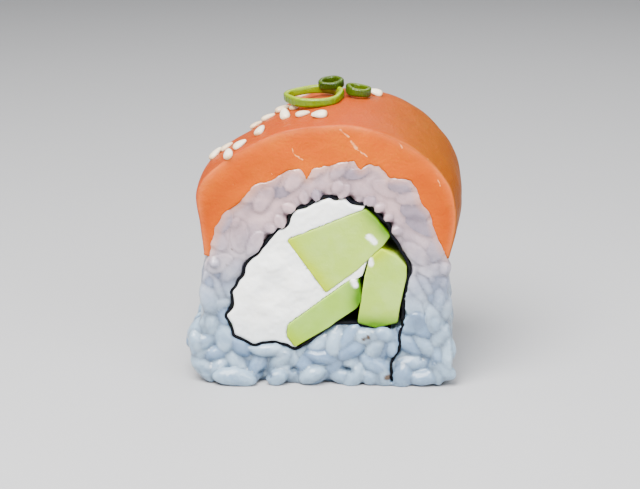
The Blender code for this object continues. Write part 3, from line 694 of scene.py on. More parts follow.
class RiceField:
    """The rice as a field on a lattice: grains and a core that melt into each other where they touch.

    A grain's share of the field is exp(-gap / MELT), gap being the distance from its surface. The surface is
    where -MELT * log(total) crosses zero.
    """

    MELT = 0.19
    FAR = 9.0
    # The lattice: runs of (start, step) along each axis, then its end. It is finest in front
    LATTICE = (
        ((-26.5, 0.32), (25.4,)),
        ((-16.6, 0.28), (-11.4, 0.56), (11.4, 0.36), (15.7,)),
        ((-0.9, 0.32), (44.4,)),
    )
    CORE_BACK = 0.95  # how far the core lies behind a cut face low down
    CORE_FORWARD = 0.75  # how much nearer it comes in the arch
    CORE_NICK = 1.2  # how far it draws back again there, next to the nori
    OVERHANG = 0.4  # how far grains hang over the nori's edge
    OVERHANG_LOW = 1.6  # and under the right stick

    def __init__(self):
        self.axes = [lattice_axis(*runs) for runs in self.LATTICE]
        x, _, z = self.axes
        flat = np.stack(np.meshgrid(x, z, indexing="ij"), axis=-1)
        sheet = nori_path(260)
        self.nori, station = self.nearest(flat, sheet)
        self.nori[inside(flat, sheet[: int(FILLING_TO * len(sheet))])] *= -1
        self.along = left_of(sheet)[station][..., ::-1] * (1, -1)
        self.outline = self.depth_inside(flat, rice_outline(220))
        self.front_edge, self.back_edge = (
            self.depth_inside(flat, rice_outline(420, arch_border(side, 240))) for side in (-1, 1)
        )
        shape = [len(axis) for axis in self.axes]
        self.total = np.zeros(shape)
        self.closest = np.full(shape, self.FAR)
        self.tone = np.zeros(shape)

    @staticmethod
    def nearest(flat, path):
        gaps = np.linalg.norm(flat[:, :, None] - path, axis=3)
        station = gaps.argmin(axis=2)
        return gaps.min(axis=2), station

    def depth_inside(self, flat, outline):
        depth, _ = self.nearest(flat, outline)
        return np.where(inside(flat, outline), depth, -depth)

    def read(self, values, points):
        """Values at the lattice nodes nearest to places on the cut face."""
        x, _, z = self.axes
        i = np.clip(np.rint((points[..., 0] - x[0]) / (x[1] - x[0])).astype(int), 0, len(x) - 1)
        k = np.clip(np.rint((points[..., 1] - z[0]) / (z[1] - z[0])).astype(int), 0, len(z) - 1)
        return values[i, k]

    def add(self, window, gap, tone):
        self.total[window] += np.exp(-np.clip(gap, -3, 3) / self.MELT)
        nearer = gap < self.closest[window]
        self.closest[window] = np.where(nearer, gap, self.closest[window])
        self.tone[window] = np.where(nearer, tone, self.tone[window])

    def add_grain(self, middle, frame_axes, half, bend, face, edge, tone):
        """An ellipsoid, bent sideways, kept behind its own cut and within an edge over the cut face.

        face is the cut's place on Y, with its sign for the side, or 0 for none.
        """
        reach = np.abs(frame_axes) @ half + 0.8
        spans = [np.searchsorted(axis, (m - r, m + r)) for axis, m, r in zip(self.axes, middle, reach)]
        window = tuple(slice(*span) for span in spans)
        x, y, z = (axis[part] for axis, part in zip(self.axes, window))
        offset = np.stack(np.meshgrid(x, y, z, indexing="ij"), axis=-1) - middle
        local = offset @ frame_axes / half
        local[..., 1] += bend * (local[..., 0] ** 2 - 0.4)
        ratio = np.sqrt((local**2).sum(axis=-1)) + 1e-6
        gap = ratio * (ratio - 1) / (np.sqrt(((local / half) ** 2).sum(axis=-1)) + 1e-6)
        if face:
            gap = np.maximum(gap, (math.copysign(1, face) * y - abs(face))[None, :, None])
        if edge is not None:
            gap = np.maximum(gap, -edge[window[0], window[2]][:, None])
        self.add(window, gap, tone)

    def add_core(self):
        """The mass inside. In the arch it comes nearly to the cut faces, except next to the nori."""
        y, z = self.axes[1][None, :, None], self.axes[2][None, None, :]
        nori = self.nori[:, None]
        high = np.clip((z - 14) / 10, 0, 1)
        next_to_nori = np.clip((z - 26) / 2, 0, 1) * np.exp(-((nori / 1.1) ** 4))
        depth = HALF_DEPTH - self.CORE_BACK + self.CORE_FORWARD * high - self.CORE_NICK * next_to_nori
        close = np.clip((np.abs(y) - depth + 1.5) / 1.5, 0, 1)
        edge = np.where(y > 12, self.back_edge[:, None], self.outline[:, None])
        edge = np.where(y < -12, self.front_edge[:, None], edge)
        gap = np.maximum(1.0 - 0.95 * high - edge, 0.3 + 0.35 * close - nori)
        gap = np.maximum(gap, np.abs(y) - depth)
        self.add((slice(None), slice(None), slice(None)), gap, -1.0)

    def mesh(self):
        """(points, faces, tone, crease_shade, salmon_reflection): painted shade, 1 where grains meet, and
        painted light by the salmon.
        """
        value = -self.MELT * np.log(self.total + 1e-12)
        # Painted shade where grains meet
        crease_shade = np.clip((self.closest - value) / self.MELT, 0, 1)
        x, y, z = np.meshgrid(*self.axes, indexing="ij", sparse=True)
        low = np.exp(-(((x - 8.9) / 2.9) ** 4) - ((z - 9.9) / 2) ** 2) * np.clip(-12.2 - y, 0, 1)
        rest = np.clip((np.abs(y) - 13.2) / 0.3, 0, 1) * np.clip((z - 11) / 2, 0, 1)
        over = self.OVERHANG_LOW * low + self.OVERHANG * rest
        value = np.maximum(value, 0.28 - self.nori[:, None] - over)
        for at_x, at_z, wide, tall in PITS:
            away = np.sqrt(((x - at_x) / wide) ** 2 + ((z - at_z) / tall) ** 2 + ((y + 14.8) / 2.3) ** 2)
            value = np.maximum(value, (1 - away) * tall)
            # Painted shade in the pits too
            crease_shade = np.maximum(crease_shade, np.clip(3 - 2 * away, 0, 1))
        value = np.maximum(value, -z)
        points, faces, cell = field_surface(value, self.axes)
        at = tuple(cell.T)
        # Painted light reflected from the salmon, on the rice just under its front edge
        near_salmon = np.clip(1.2 - self.front_edge / 1.3, 0, 1)[at[0], at[2]]
        salmon_reflection = near_salmon * np.clip(points[:, 2] / 3 - 7.6, 0, 1)
        return points, faces, self.tone[at], crease_shade[at], salmon_reflection


def grain_halves(settings):
    """Half a grain's length, width and thickness, in millimetres."""
    return np.array([settings.grain_length, settings.grain_width, settings.grain_width]) / 2 / MM


def face_grain_places(rng, field, settings, side, layer, given=None):
    """Grains over a cut face: along the nori's direction more or less, one layer in front of another."""
    half = grain_halves(settings)[:2]

    def heading_of(places, rng):
        along = field.read(field.along, places)
        return np.arctan2(along[:, 1], along[:, 0]) + rng.normal(0.5, 0.7, len(places))

    def fits(places, heading):
        across = np.stack([-heading[:, 1], heading[:, 0]], axis=1)
        reach = np.stack([heading * half[0], across * half[1]], axis=1) * 0.8
        rim = places[:, None] + np.concatenate([reach, -reach], axis=1)
        clear = field.read(field.nori, rim) > -0.1
        within = field.read(field.outline, rim) > -0.9
        return (clear & within & (rim[..., 1] > -0.1)).all(axis=1)

    places, heading = spread(
        rng, fits, (-26, 0.8), (25, 43), heading_of, half, tries=7000, spacing=0.6, given=given
    )
    count = len(places)
    lean = rng.normal(0, 0.22, count)
    heading = np.stack([heading[:, 0], lean, heading[:, 1]], axis=1)
    depth = HALF_DEPTH - 0.95 - layer * 1.0 + rng.uniform(-0.35, 0.3, count)
    middles = np.stack([places[:, 0], side * depth, places[:, 1]], axis=1)
    return middles, heading, np.tile([0.0, side, 0.0], (count, 1))


def row_grain_places(rng, side):
    """Grains that lie along the roll, side by side over the nori, and show their rounded ends."""
    path = nori_path(400, 1.5)
    away = np.concatenate([[0], np.cumsum(np.linalg.norm(np.diff(path, axis=0), axis=1))])
    first, last = away[(path[:, 1] > 27).argmax()], away[(path[:, 0] > 13.8).argmax()]
    at = np.cumsum(rng.uniform(1.9, 3.1, int((last - first) / 2.5))) + first
    places = np.stack([np.interp(at, away, path[:, k]) for k in range(2)], axis=1)
    count = len(places)
    up = np.stack([np.interp(at, away, left_of(path)[:, k]) for k in range(2)], axis=1)
    depth = HALF_DEPTH - 2.5 + rng.uniform(-0.25, 0.25, count)
    middles = np.stack([places[:, 0], side * depth, places[:, 1]], axis=1)
    heading = np.stack([0.3 * up[:, 0], np.full(count, -side), 0.3 * up[:, 1]], axis=1)
    heading += rng.normal(0, 0.15, (count, 3))
    return middles, heading, np.stack([up[:, 0], 0 * at, up[:, 1]], axis=1)


def wall_grain_places(rng, settings, route, layer):
    """Grains over a side wall, more upright than level, one layer outside another."""
    half = grain_halves(settings)[:2]
    side = math.copysign(1.0, route[0][0])

    def fits(places, heading):
        rim = np.abs(heading) * half[0] * 0.8 + half[1] * 0.3
        y, z = np.abs(places[:, 0]) + rim[:, 0], places[:, 1] + rim[:, 1]
        return (y < 13.6) & (places[:, 1] > 1.0) & (z < 24.6 - 0.8 * layer)

    def heading_of(places, rng):
        return math.pi / 2 + rng.normal(0, 0.75, len(places))

    places, heading = spread(rng, fits, (-13, 0.9), (13, 24), heading_of, half, tries=3500, spacing=0.68)
    count = len(places)
    y, z = places.T
    inset = 1.45 if side > 0 else 0.75 - 0.55 * np.exp(-(((z - 7.5) / 3.5) ** 2))
    x = wall(route, z) - side * (inset + layer * 1.0) + rng.uniform(-0.45, 0.3, count)
    slope = (wall(route, z + 0.5) - wall(route, z - 0.5)) * heading[:, 1]
    heading = np.stack([slope + rng.normal(0, 0.12, count), heading[:, 0], heading[:, 1]], axis=1)
    return np.stack([x, y, z], axis=1), heading, np.tile([side, 0.0, 0.0], (count, 1))


def base_grain_places(rng, settings):
    """Grains under the slice, pressed flat against the floor."""
    half = grain_halves(settings)[:2]

    def fits(places, heading):
        rim = places[:, None] + np.stack([heading, -heading], axis=1) * half[0] * 0.9
        off_nori = (np.abs(rim[..., 0] - NORI_ROUTE[-1][0]) > 1.6).all(axis=1)
        within = (np.abs(rim[..., 1]) < 12.6).all(axis=1) & (rim[..., 0] > -22).all(axis=1)
        return off_nori & within & (rim[..., 0] < 21).all(axis=1)

    def heading_of(places, rng):
        return rng.uniform(0, math.pi, len(places))

    places, heading = spread(rng, fits, (-21, -12), (20, 12), heading_of, half, tries=2500, spacing=0.74)
    count = len(places)
    middles = np.stack([places[:, 0], places[:, 1], rng.uniform(0.9, 1.2, count)], axis=1)
    heading = np.stack([heading[:, 0], heading[:, 1], np.zeros(count)], axis=1)
    return middles, heading, np.tile([0.0, 0.0, -1.0], (count, 1))


# Large grains at the front, along the foot, under the right stick and up the right wall's edge: x, y, z, half
# length and tilt in degrees
FOOT_GRAINS = (
    (-16.4, -14.8, 1.5, 4.9, -5), (-8.8, -14.1, 1.4, 2.2, 8), (-2.3, -13.9, 1.9, 3.0, 26),
    (5.4, -13.2, 1.6, 2.4, 60), (8.3, -13.0, 1.4, 1.7, 80), (11.0, -13.0, 1.6, 1.9, 100),
    (14.2, -13.3, 1.7, 2.4, 75), (18.2, -13.3, 1.6, 2.6, 8), (21.6, -12.9, 2.9, 2.6, -28),
    (7.0, -13.0, 9.5, 2.3, 8), (10.6, -13.0, 9.7, 2.0, -6), (9.2, -12.9, 7.6, 2.6, 64),
    (21.3, -12.4, 22.3, 1.7, 85), (21.1, -12.3, 19.4, 1.5, 95), (21.6, -12.4, 15.2, 2.9, 90),
    (22.5, -12.4, 7.2, 2.5, 102),
)

# Unevenness of the grains: layers of amount, size and seed
RICE_LUMPS = ((0.07, 1.1, 4), (0.05, 0.6, 8))

# Pits between the grains of the front foot, with painted shade in them: x, z, half width and half height
PITS = ((4.0, 3.0, 1.2, 0.6), (17.9, 5.2, 0.7, 0.6), (-11.0, 2.0, 1.3, 0.6), (-5.6, 2.8, 1.0, 0.6))

# Small brown flecks and pits on the front: x, z and radius
FLECKS = (
    (8.0, 9.5, 0.55), (7.3, 9.1, 0.5), (11.7, 1.8, 0.7), (11.3, 1.7, 0.45), (-16.7, 25.6, 0.26),
    (-17.7, 22.5, 0.24),
)


class RiceSettings(bpy.types.PropertyGroup):
    grain_length: length_setting("Grain length", "Length of a cooked grain", 0.0068)
    grain_width: length_setting("Grain width", "Width of a cooked grain", 0.0030)
    seed: IntProperty(name="Seed", description="Changes how the grains lie", default=5)
    # Both colours stand for painted light: cool light on the rice low down, warmer light off the salmon above
    low_colour: colour_setting("Low colour", "Colour near the floor", (0.33, 0.44, 0.54))
    high_colour: colour_setting("High colour", "Colour under the salmon", (0.52, 0.355, 0.365))


def rice_material(settings):
    """Painted light: cooler low, warmer and pink under the salmon. Some grains darker; painted shade in
    creases.
    """
    scatter = (0.8, (1.0, 0.92, 0.88), 0.0016)
    material, tree, shader = new_material("cooked rice", 0.3, ior=1.4, scatter=scatter, coat=(0.5, 0.05))
    height = height_in_slice(tree)
    # Painted light: cool near the floor, warm and pink under the salmon
    colour = blend_colours(tree, ramp(tree, height, 0.010, 0.034), settings.low_colour, settings.high_colour)
    darker = (
        # Painted shade towards the floor
        (ramp(tree, height, 0.008, 0.0), (0.74, 0.78, 0.82)),
        (ramp(tree, attribute(tree, "tone"), 0.0, 1.0), (0.58, 0.66, 0.78)),
        # Painted shade where grains meet and in the pits
        (attribute(tree, "crease_shade"), (0.48, 0.48, 0.50)),
        (1.0, mottled(tree, (1.0, 1.0, 1.0), (0.72, 0.75, 0.80), 0.9, 320.0)),
    )
    for where, shade in darker:
        colour = blend_colours(tree, where, colour, shade, mode="MULTIPLY")
    # Painted light reflected from the salmon, pink on the rice next to it
    salmon_reflection = maths(tree, "MULTIPLY", attribute(tree, "salmon_reflection"), 0.42)
    colour = blend_colours(tree, salmon_reflection, colour, (0.62, 0.26, 0.12))
    colour = blend_colours(tree, attribute(tree, "fleck"), colour, (0.07, 0.04, 0.02))
    finish(tree, shader, colour, (700.0, 2600.0, 0.4), 0.0003, 0.6)
    return material


class SUSHI_OT_rice(bpy.types.Operator):
    """Builds the rice: grains over the cut faces, walls and base, melted into the mass behind them"""

    bl_idname = "sushi_slice.rice"
    bl_label = "Rice"

    def execute(self, context):
        settings = context.scene.sushi_rice
        rng = np.random.default_rng(settings.seed)
        field = RiceField()
        field.add_core()
        size = grain_halves(settings)
        for side in (-1, 1):
            row = row_grain_places(rng, side)
            self.add_group(field, rng, row, size * (0.9, 0.8, 1.2), side * (HALF_DEPTH + 0.15), None)
            taken = row[0][:, [0, 2]], np.tile([1.0, 0.0], (len(row[0]), 1))
            edge = field.front_edge if side < 0 else field.back_edge
            for layer in (0, 1):
                group = face_grain_places(rng, field, settings, side, layer, taken)
                self.add_group(field, rng, group, size, side * (HALF_DEPTH + 0.12), edge)
        for route in (LEFT_WALL, RIGHT_WALL):
            for layer in (0, 1):
                self.add_group(field, rng, wall_grain_places(rng, settings, route, layer), size, 0.0, None)
        self.add_group(field, rng, base_grain_places(rng, settings), size, 0.0, None)
        foot = np.array(FOOT_GRAINS)
        tilt = np.radians(foot[:, 4])
        heading = np.stack([np.cos(tilt), 0 * tilt, np.sin(tilt)], axis=1)
        halves = np.stack([foot[:, 3], 0 * tilt + 1.5, 0 * tilt + 1.4], axis=1)
        out = np.tile([0.0, -1.0, 0.0], (len(foot), 1))
        self.add_group(field, rng, (foot[:, :3], heading, out), halves, 0.0, None)
        points, faces, tone, crease_shade, salmon_reflection = field.mesh()
        points += point_normals(points, faces) * unevenness(points, RICE_LUMPS)[:, None]
        points[:, 2] = np.maximum(points[:, 2], 0.0)
        fleck = np.zeros(len(points))
        for x, z, radius in FLECKS:
            away = np.hypot(points[:, 0] - x, points[:, 2] - z) + 0.12 * lumps(points, 0.7, 6)
            fleck = np.maximum(fleck, np.clip((radius - away) / 0.2, 0, 1) * (points[:, 1] < -11))
        values = {"tone": tone, "crease_shade": crease_shade, "fleck": fleck, "salmon_reflection": salmon_reflection}
        add_piece("rice_grains", points, faces, rice_material(settings), ("rice",), values)
        return {"FINISHED"}

    @staticmethod
    def add_group(field, rng, group, halves, face, edge):
        """Adds grains of a group, each a little different in size, bend and tone."""
        middles, heading, out = group
        count = len(middles)
        halves = halves * rng.uniform((0.78, 0.86, 0.86), (1.18, 1.16, 1.08), (count, 3))
        axes = grain_axes(heading, out, rng.uniform(-0.5, 0.5, count))
        bends = rng.uniform(-0.25, 0.25, count)
        faces = face + np.sign(face) * rng.uniform(-0.14, 0.12, count)
        tones = rng.uniform(0, 1, count) ** 1.5
        # A grain low on a cut face stands out of it whole
        low = np.clip((15 - middles[:, 2]) / 10, 0, 1)
        faces = faces + np.sign(face) * low * 0.8
        for row in zip(middles, axes, halves, bends, faces, [edge] * count, tones):
            field.add_grain(*row)


# Nori


class NoriSettings(bpy.types.PropertyGroup):
    thickness: length_setting("Thickness", "Thickness of the moist sheet", 0.00055)
    colour: colour_setting("Colour", "Colour of the sheet", (0.003, 0.003, 0.006))


def nori_material(settings):
    material, tree, shader = new_material("moist nori", 0.7, specular=0.06)
    colour = mottled(tree, settings.colour, (0.006, 0.007, 0.007), 0.8, 900.0)
    finish(tree, shader, colour, (900.0, 4000.0, 0.5), 0.0003)
    return material


class SUSHI_OT_nori(bpy.types.Operator):
    """Builds the nori sheet that goes round the filling and down to the floor, crinkled by the grains"""

    bl_idname = "sushi_slice.nori"
    bl_label = "Nori"

    def execute(self, context):
        settings = context.scene.sushi_nori
        half = settings.thickness / 2 / MM
        path = nori_path(420)
        side = left_of(path)
        inner, outer = path - side * half, path + side * half
        section = section_loop(across=5, along=40, corner=2)
        grid = slab(inner, outer, HALF_DEPTH - NORI_SET_BACK, NORI_ROUNDING, section)
        grid[..., 1] *= 1 + 0.015 * lumps(grid * [1, 0, 1], 1.7, 23)
        points, faces = closed_tube(grid)
        add_piece("nori_sheet", points, faces, nori_material(settings), ("nori",))
        return {"FINISHED"}


# Filling


class FillingSettings(bpy.types.PropertyGroup):
    cheese_colour: colour_setting("Cheese colour", "Colour of the cream cheese", (0.90, 0.905, 0.885))
    flesh_colour: colour_setting("Flesh colour", "Pale flesh of the cucumber", (0.34, 0.49, 0.055))
    skin_colour: colour_setting("Skin colour", "Green towards the cucumber's skin", (0.07, 0.18, 0.0))


def cheese_material(settings):
    """White, with painted shade making it greyer low down."""
    scatter = (0.5, (1.0, 0.95, 0.85), 0.0012)
    material, tree, shader = new_material("cream cheese", 0.45, scatter=scatter, coat=(0.1, 0.3))
    colour = mottled(tree, settings.cheese_colour, (0.90, 0.89, 0.84), 0.5, 350.0)
    # Painted shade towards the floor
    low = ramp(tree, height_in_slice(tree), 0.015, 0.0085)
    colour = blend_colours(tree, low, colour, (0.78, 0.81, 0.84), mode="MULTIPLY")
    finish(tree, shader, colour, (260.0, 1100.0, 0.22), 0.0009, 0.6)
    return material


def cucumber_material(settings):
    """Pale flesh, yellower at the pith and greener at the skin, with a painted wet glint in the cheese's
    colour.
    """
    scatter = (0.45, (0.9, 1.0, 0.5), 0.0022)
    material, tree, shader = new_material("cucumber", 0.3, 0.2, 1.36, scatter, coat=(0.06, 0.1))
    colour = mottled(tree, settings.flesh_colour, (0.37, 0.52, 0.12), 0.7, 260.0)
    colour = blend_colours(tree, attribute(tree, "pith"), colour, (0.36, 0.47, 0.0))
    colour = blend_colours(tree, attribute(tree, "skin"), colour, settings.skin_colour)
    colour = blend_colours(tree, attribute(tree, "shaded"), colour, (0.76, 0.88, 0.66), mode="MULTIPLY")
    # A painted wet glint, in the cheese's colour
    colour = blend_colours(tree, attribute(tree, "painted_glint"), colour, settings.cheese_colour)
    finish(tree, shader, colour, (600.0, 2600.0, 0.35), 0.00025, 0.6)
    return material


class SUSHI_OT_cream_cheese(bpy.types.Operator):
    """Builds the cream cheese: a block to the nori's outline, its cut faces pressed and smeared"""

    bl_idname = "sushi_slice.cream_cheese"
    bl_label = "Cream cheese"

    def execute(self, context):
        sheet = nori_path(300, -0.3)
        first, last = (np.linalg.norm(sheet - end, axis=1).argmin() for end in (CHEESE_STARTS, CHEESE_ENDS))
        outline = np.vstack([sheet[first:last], CHEESE_CLOSING])
        outline = resample(np.vstack([outline, outline[:1]]), 281)[:-1]
        middle = np.array(CHEESE_MIDDLE)
        grid, share = disc(outline, middle, *CHEESE_REACH, rounding=0.5, rings=44, depth_steps=14)
        points, faces = closed_tube(grid)
        share = with_ends(share)
        cut = np.abs(points[:, 1]) > 12.5
        push = unevenness(points, CHEESE_LUMPS) * (1.15 - share**6)
        cross = points[:, [0, 2]]
        for name in ("cucumber_top", "cucumber_low"):
            behind_stick = rounded_outline(STICKS[name]["corners"], STICK_CORNER_RADIUS, 80)
            push[inside(cross, behind_stick)] = -1.2
        points[:, 1] += np.sign(points[:, 1]) * push * cut
        material = cheese_material(context.scene.sushi_filling)
        add_piece("cream_cheese_block", points, faces, material, ("cream_cheese",))
        return {"FINISHED"}


class SUSHI_OT_cucumber(bpy.types.Operator):
    """Builds the three cucumber sticks, with the green of the skin towards one side of each"""

    bl_idname = "sushi_slice.cucumber"
    bl_label = "Cucumber"

    def execute(self, context):
        material = cucumber_material(context.scene.sushi_filling)
        for index, (name, stick) in enumerate(STICKS.items()):
            outline = rounded_outline(stick["corners"], STICK_CORNER_RADIUS, 120)
            middle = outline.mean(axis=0)
            front, back = stick["reach"]
            grid, _ = disc(outline, middle, front, back, rounding=0.3, rings=26, depth_steps=16)
            points, faces = closed_tube(grid)
            cut = np.abs(points[:, 1]) > min(front, back) - 1
            points[:, 1] += np.sign(points[:, 1]) * cut * 0.1 * lumps(points, 4.0, 41 + index)
            wavy = lumps(points, 3.0, 51 + index)[:, None]
            points += point_normals(points, faces) * ~cut[:, None] * 0.08 * wavy
            swell = 1 + stick["swell"] * (points[:, 1] / HALF_DEPTH + 1) / 2
            points[:, [0, 2]] = middle + (points[:, [0, 2]] - middle) * swell[:, None]
            values = {title: self.nearness(points, np.array(stick[title]), 2.2) for title in ("skin", "pith")}
            # A painted wet glint on the front cut face
            painted_glint = np.array(stick["painted_glint"])
            away = self.nearness(points, painted_glint, 0.55) * (points[:, 1] < 2 - HALF_DEPTH)
            values["painted_glint"] = np.clip(2.2 * away - 0.7, 0, 1)
            values["shaded"] = np.full(len(points), stick["shaded"])
            points[:, 0] += stick["lean"] * (points[:, 1] / HALF_DEPTH + 1) / 2
            add_piece(f"{name}_stick", points, faces, material, (name,), values)
        return {"FINISHED"}

    @staticmethod
    def nearness(points, line, width):
        """1 on a line across the slice, easing to 0 over about width, a little uneven."""
        start, run = line[0], line[1] - line[0]
        offset = points[:, [0, 2]] - start
        along = np.clip(offset @ run / (run @ run), 0, 1)
        away = np.linalg.norm(offset - along[:, None] * run, axis=1)
        return np.clip(np.exp(-((away / width) ** 2)) * (1.25 + 0.2 * lumps(points, 1.5, 61)), 0, 1)


# Salmon and sesame


class SalmonSettings(bpy.types.PropertyGroup):
    flesh_colour: colour_setting("Flesh colour", "Colour of the cut flesh", (0.455, 0.071, 0.0))
    top_colour: colour_setting("Top colour", "Colour of the outer side", (0.31, 0.044, 0.004))
    fat_colour: colour_setting("Fat colour", "Colour of the pale lines", (0.66, 0.27, 0.10))
    seed_colour: colour_setting("Seed colour", "Colour of the sesame seeds", (0.72, 0.62, 0.46))


# Fat lines on the front cut face: start and end as (x, z) in the slice's own place, and width
FAT_LINES = (
    ((2.2, 47.6), (3.7, 46.3), 0.36), ((4.2, 45.6), (5.0, 44.7), 0.36), ((5.0, 44.6), (7.0, 42.9), 0.17),
    ((-6.1, 44.3), (-4.4, 42.0), 0.16), ((12.3, 46.0), (13.3, 44.6), 0.2), ((18.0, 43.0), (18.2, 42.7), 0.22),
    ((-16.8, 37.8), (-16.5, 37.4), 0.2), ((-10.0, 39.9), (-9.8, 39.6), 0.16),
    ((19.3, 40.4), (20.1, 37.6), 0.14),
)


def salmon_rise(share, y):
    """How far the outer side stands above its route at a share of it and depth y."""
    depth = np.clip(np.abs(y) / HALF_DEPTH, 0, 1)
    higher = sum(step * np.exp(-(((share - at) / width) ** 2)) for at, width, step in SALMON_SHOULDERS)
    return SALMON_BULGE * (1 - depth**SALMON_BULGE_EXPONENT) + higher * (y / HALF_DEPTH + 1) / 2


def salmon_point(x, y):
    """(point, outward normal) on top of the salmon."""
    route = smooth_path(SALMON_ROUTE, 400)
    out = left_of(route)
    climb = np.argmin(route[:, 0])
    station = climb + np.abs(route[climb:-40, 0] - x).argmin()
    share = station / (len(route) - 1)
    point = route[station] + out[station] * salmon_rise(share, y)
    slope = (salmon_rise(share, y + 0.1) - salmon_rise(share, y - 0.1)) / 0.2
    point = np.array([point[0], y, point[1]])
    normal = np.array([out[station, 0], -slope, out[station, 1]])
    normal /= np.linalg.norm(normal)
    return point + normal * unevenness(point, SALMON_TOP_LUMPS), normal


def salmon_material(settings):
    """Cut flesh with pale fat lines and rim, and a redder outer side."""
    scatter = (0.4, (1.0, 0.35, 0.05), 0.0022)
    material, tree, shader = new_material("salmon", 0.45, 0.06, 1.34, scatter, coat=(0.03, 0.12))
    flesh = mottled(tree, settings.flesh_colour, (0.50, 0.098, 0.0), 0.7, 150.0)
    top = blend_colours(tree, attribute(tree, "far"), settings.top_colour, (0.245, 0.056, 0.002))
    deep = maths(tree, "MULTIPLY", attribute(tree, "deep"), 0.8)
    cut = blend_colours(tree, deep, flesh, (0.36, 0.050, 0.0))
    colour = blend_colours(tree, attribute(tree, "outside"), cut, top)
    for start, end, width in FAT_LINES:
        start, end = ((x * MM, 0.0, z * MM) for x, z in (start, end))
        inputs = {"Start": start, "End": end, "Width": width * MM, "Waver": FAT_WAVER}
        faded = maths(tree, "MULTIPLY", use_group(tree, "streak", inputs), attribute(tree, "front"))
        colour = blend_colours(tree, faded, colour, settings.fat_colour)
    rim = maths(tree, "MULTIPLY", attribute(tree, "rim"), 0.3)
    colour = blend_colours(tree, rim, colour, settings.fat_colour)
    finish(tree, shader, colour, (500.0, 2200.0, 0.6), 0.0004, 0.5)
    return material


class SUSHI_OT_salmon(bpy.types.Operator):
    """Builds the arched salmon slab between the rice's arch and its own outer route"""

    bl_idname = "sushi_slice.salmon"
    bl_label = "Salmon"

    def execute(self, context):
        stations = 190
        inner = smooth_path(ARCH_ROUTE, stations)
        outer = smooth_path(SALMON_ROUTE, stations)
        place, way = section = section_loop(across=16, along=56, corner=4)
        grid = slab(inner, outer, HALF_DEPTH, SALMON_ROUNDING, section)
        outside = np.clip((place[:, 0] + 1) / 2, 0, 1)
        near_arch = np.clip(-place[:, 0], 0, 1)[:, None] ** 2
        for at in (-1, 1):
            on_cut = np.clip((at * grid[..., 1:2] - 12.2) / 0.8, 0, 1)
            shift = (arch_border(at, stations) - inner - 0.3 * left_of(inner))[:, None]
            grid[..., ::2] += shift * near_arch * on_cut
        side = left_of(outer)
        fade = np.clip(6 * np.sin(np.linspace(0, math.pi, stations)), 0.2, 1)
        share = np.linspace(0, 1, stations)[:, None]
        lift = salmon_rise(share, grid[..., 1]) * fade[:, None] * outside
        grid[..., ::2] += side[:, None] * lift[..., None]
        points, faces = closed_tube(grid)
        normals = point_normals(points, faces)
        if (normals[:-2].reshape(grid.shape)[:, 40] * np.insert(side, 1, 0, axis=1)).sum() < 0:
            normals = -normals
        top = with_ends(np.tile(np.clip(way[:, 0] * 1.5, 0, 1), stations))
        points += normals * (unevenness(points, SALMON_TOP_LUMPS) * top)[:, None]
        cut = with_ends(np.tile(np.clip(-way[:, 1] * 1.5 - 0.5, 0, 1), stations))
        points[:, 1] -= cut * unevenness(points, SALMON_CUT_LUMPS)
        from_outer = np.linalg.norm(grid[..., [0, 2]] - outer[:, None], axis=2)
        from_inner = np.linalg.norm(grid[..., [0, 2]] - inner[:, None], axis=2)
        side_share = np.abs(share - 0.52) / 0.5
        rim = with_ends(np.exp(-(from_outer**2))) * cut
        rim *= 0.6 + 0.4 * lumps(points, 3.0, 75)
        deep = np.exp(-(((from_inner - 2.6) / 2.4) ** 2)) * np.clip(side_share * 2 - 0.5, 0, 1)
        deep = with_ends(deep) * cut
        far = np.clip((points[:, 0] - 6) / 12, 0, 1)
        values = {"outside": top, "front": cut, "rim": rim, "deep": deep, "far": far}
        material = salmon_material(context.scene.sushi_salmon)
        add_piece("salmon_slab", points, faces, material, ("salmon",), values)
        return {"FINISHED"}


def seed_material(settings):
    scatter = (0.3, (1.0, 0.8, 0.5), 0.0006)
    material, tree, shader = new_material("sesame seed", 0.4, scatter=scatter, coat=(0.15,))
    colour = mottled(tree, settings.seed_colour, (0.84, 0.76, 0.62), 0.9, 500.0)
    colour = blend_colours(tree, attribute(tree, "tip"), colour, (0.62, 0.40, 0.18))
    finish(tree, shader, colour, (1500.0, 5000.0, 0.4), 0.00015)
    return material


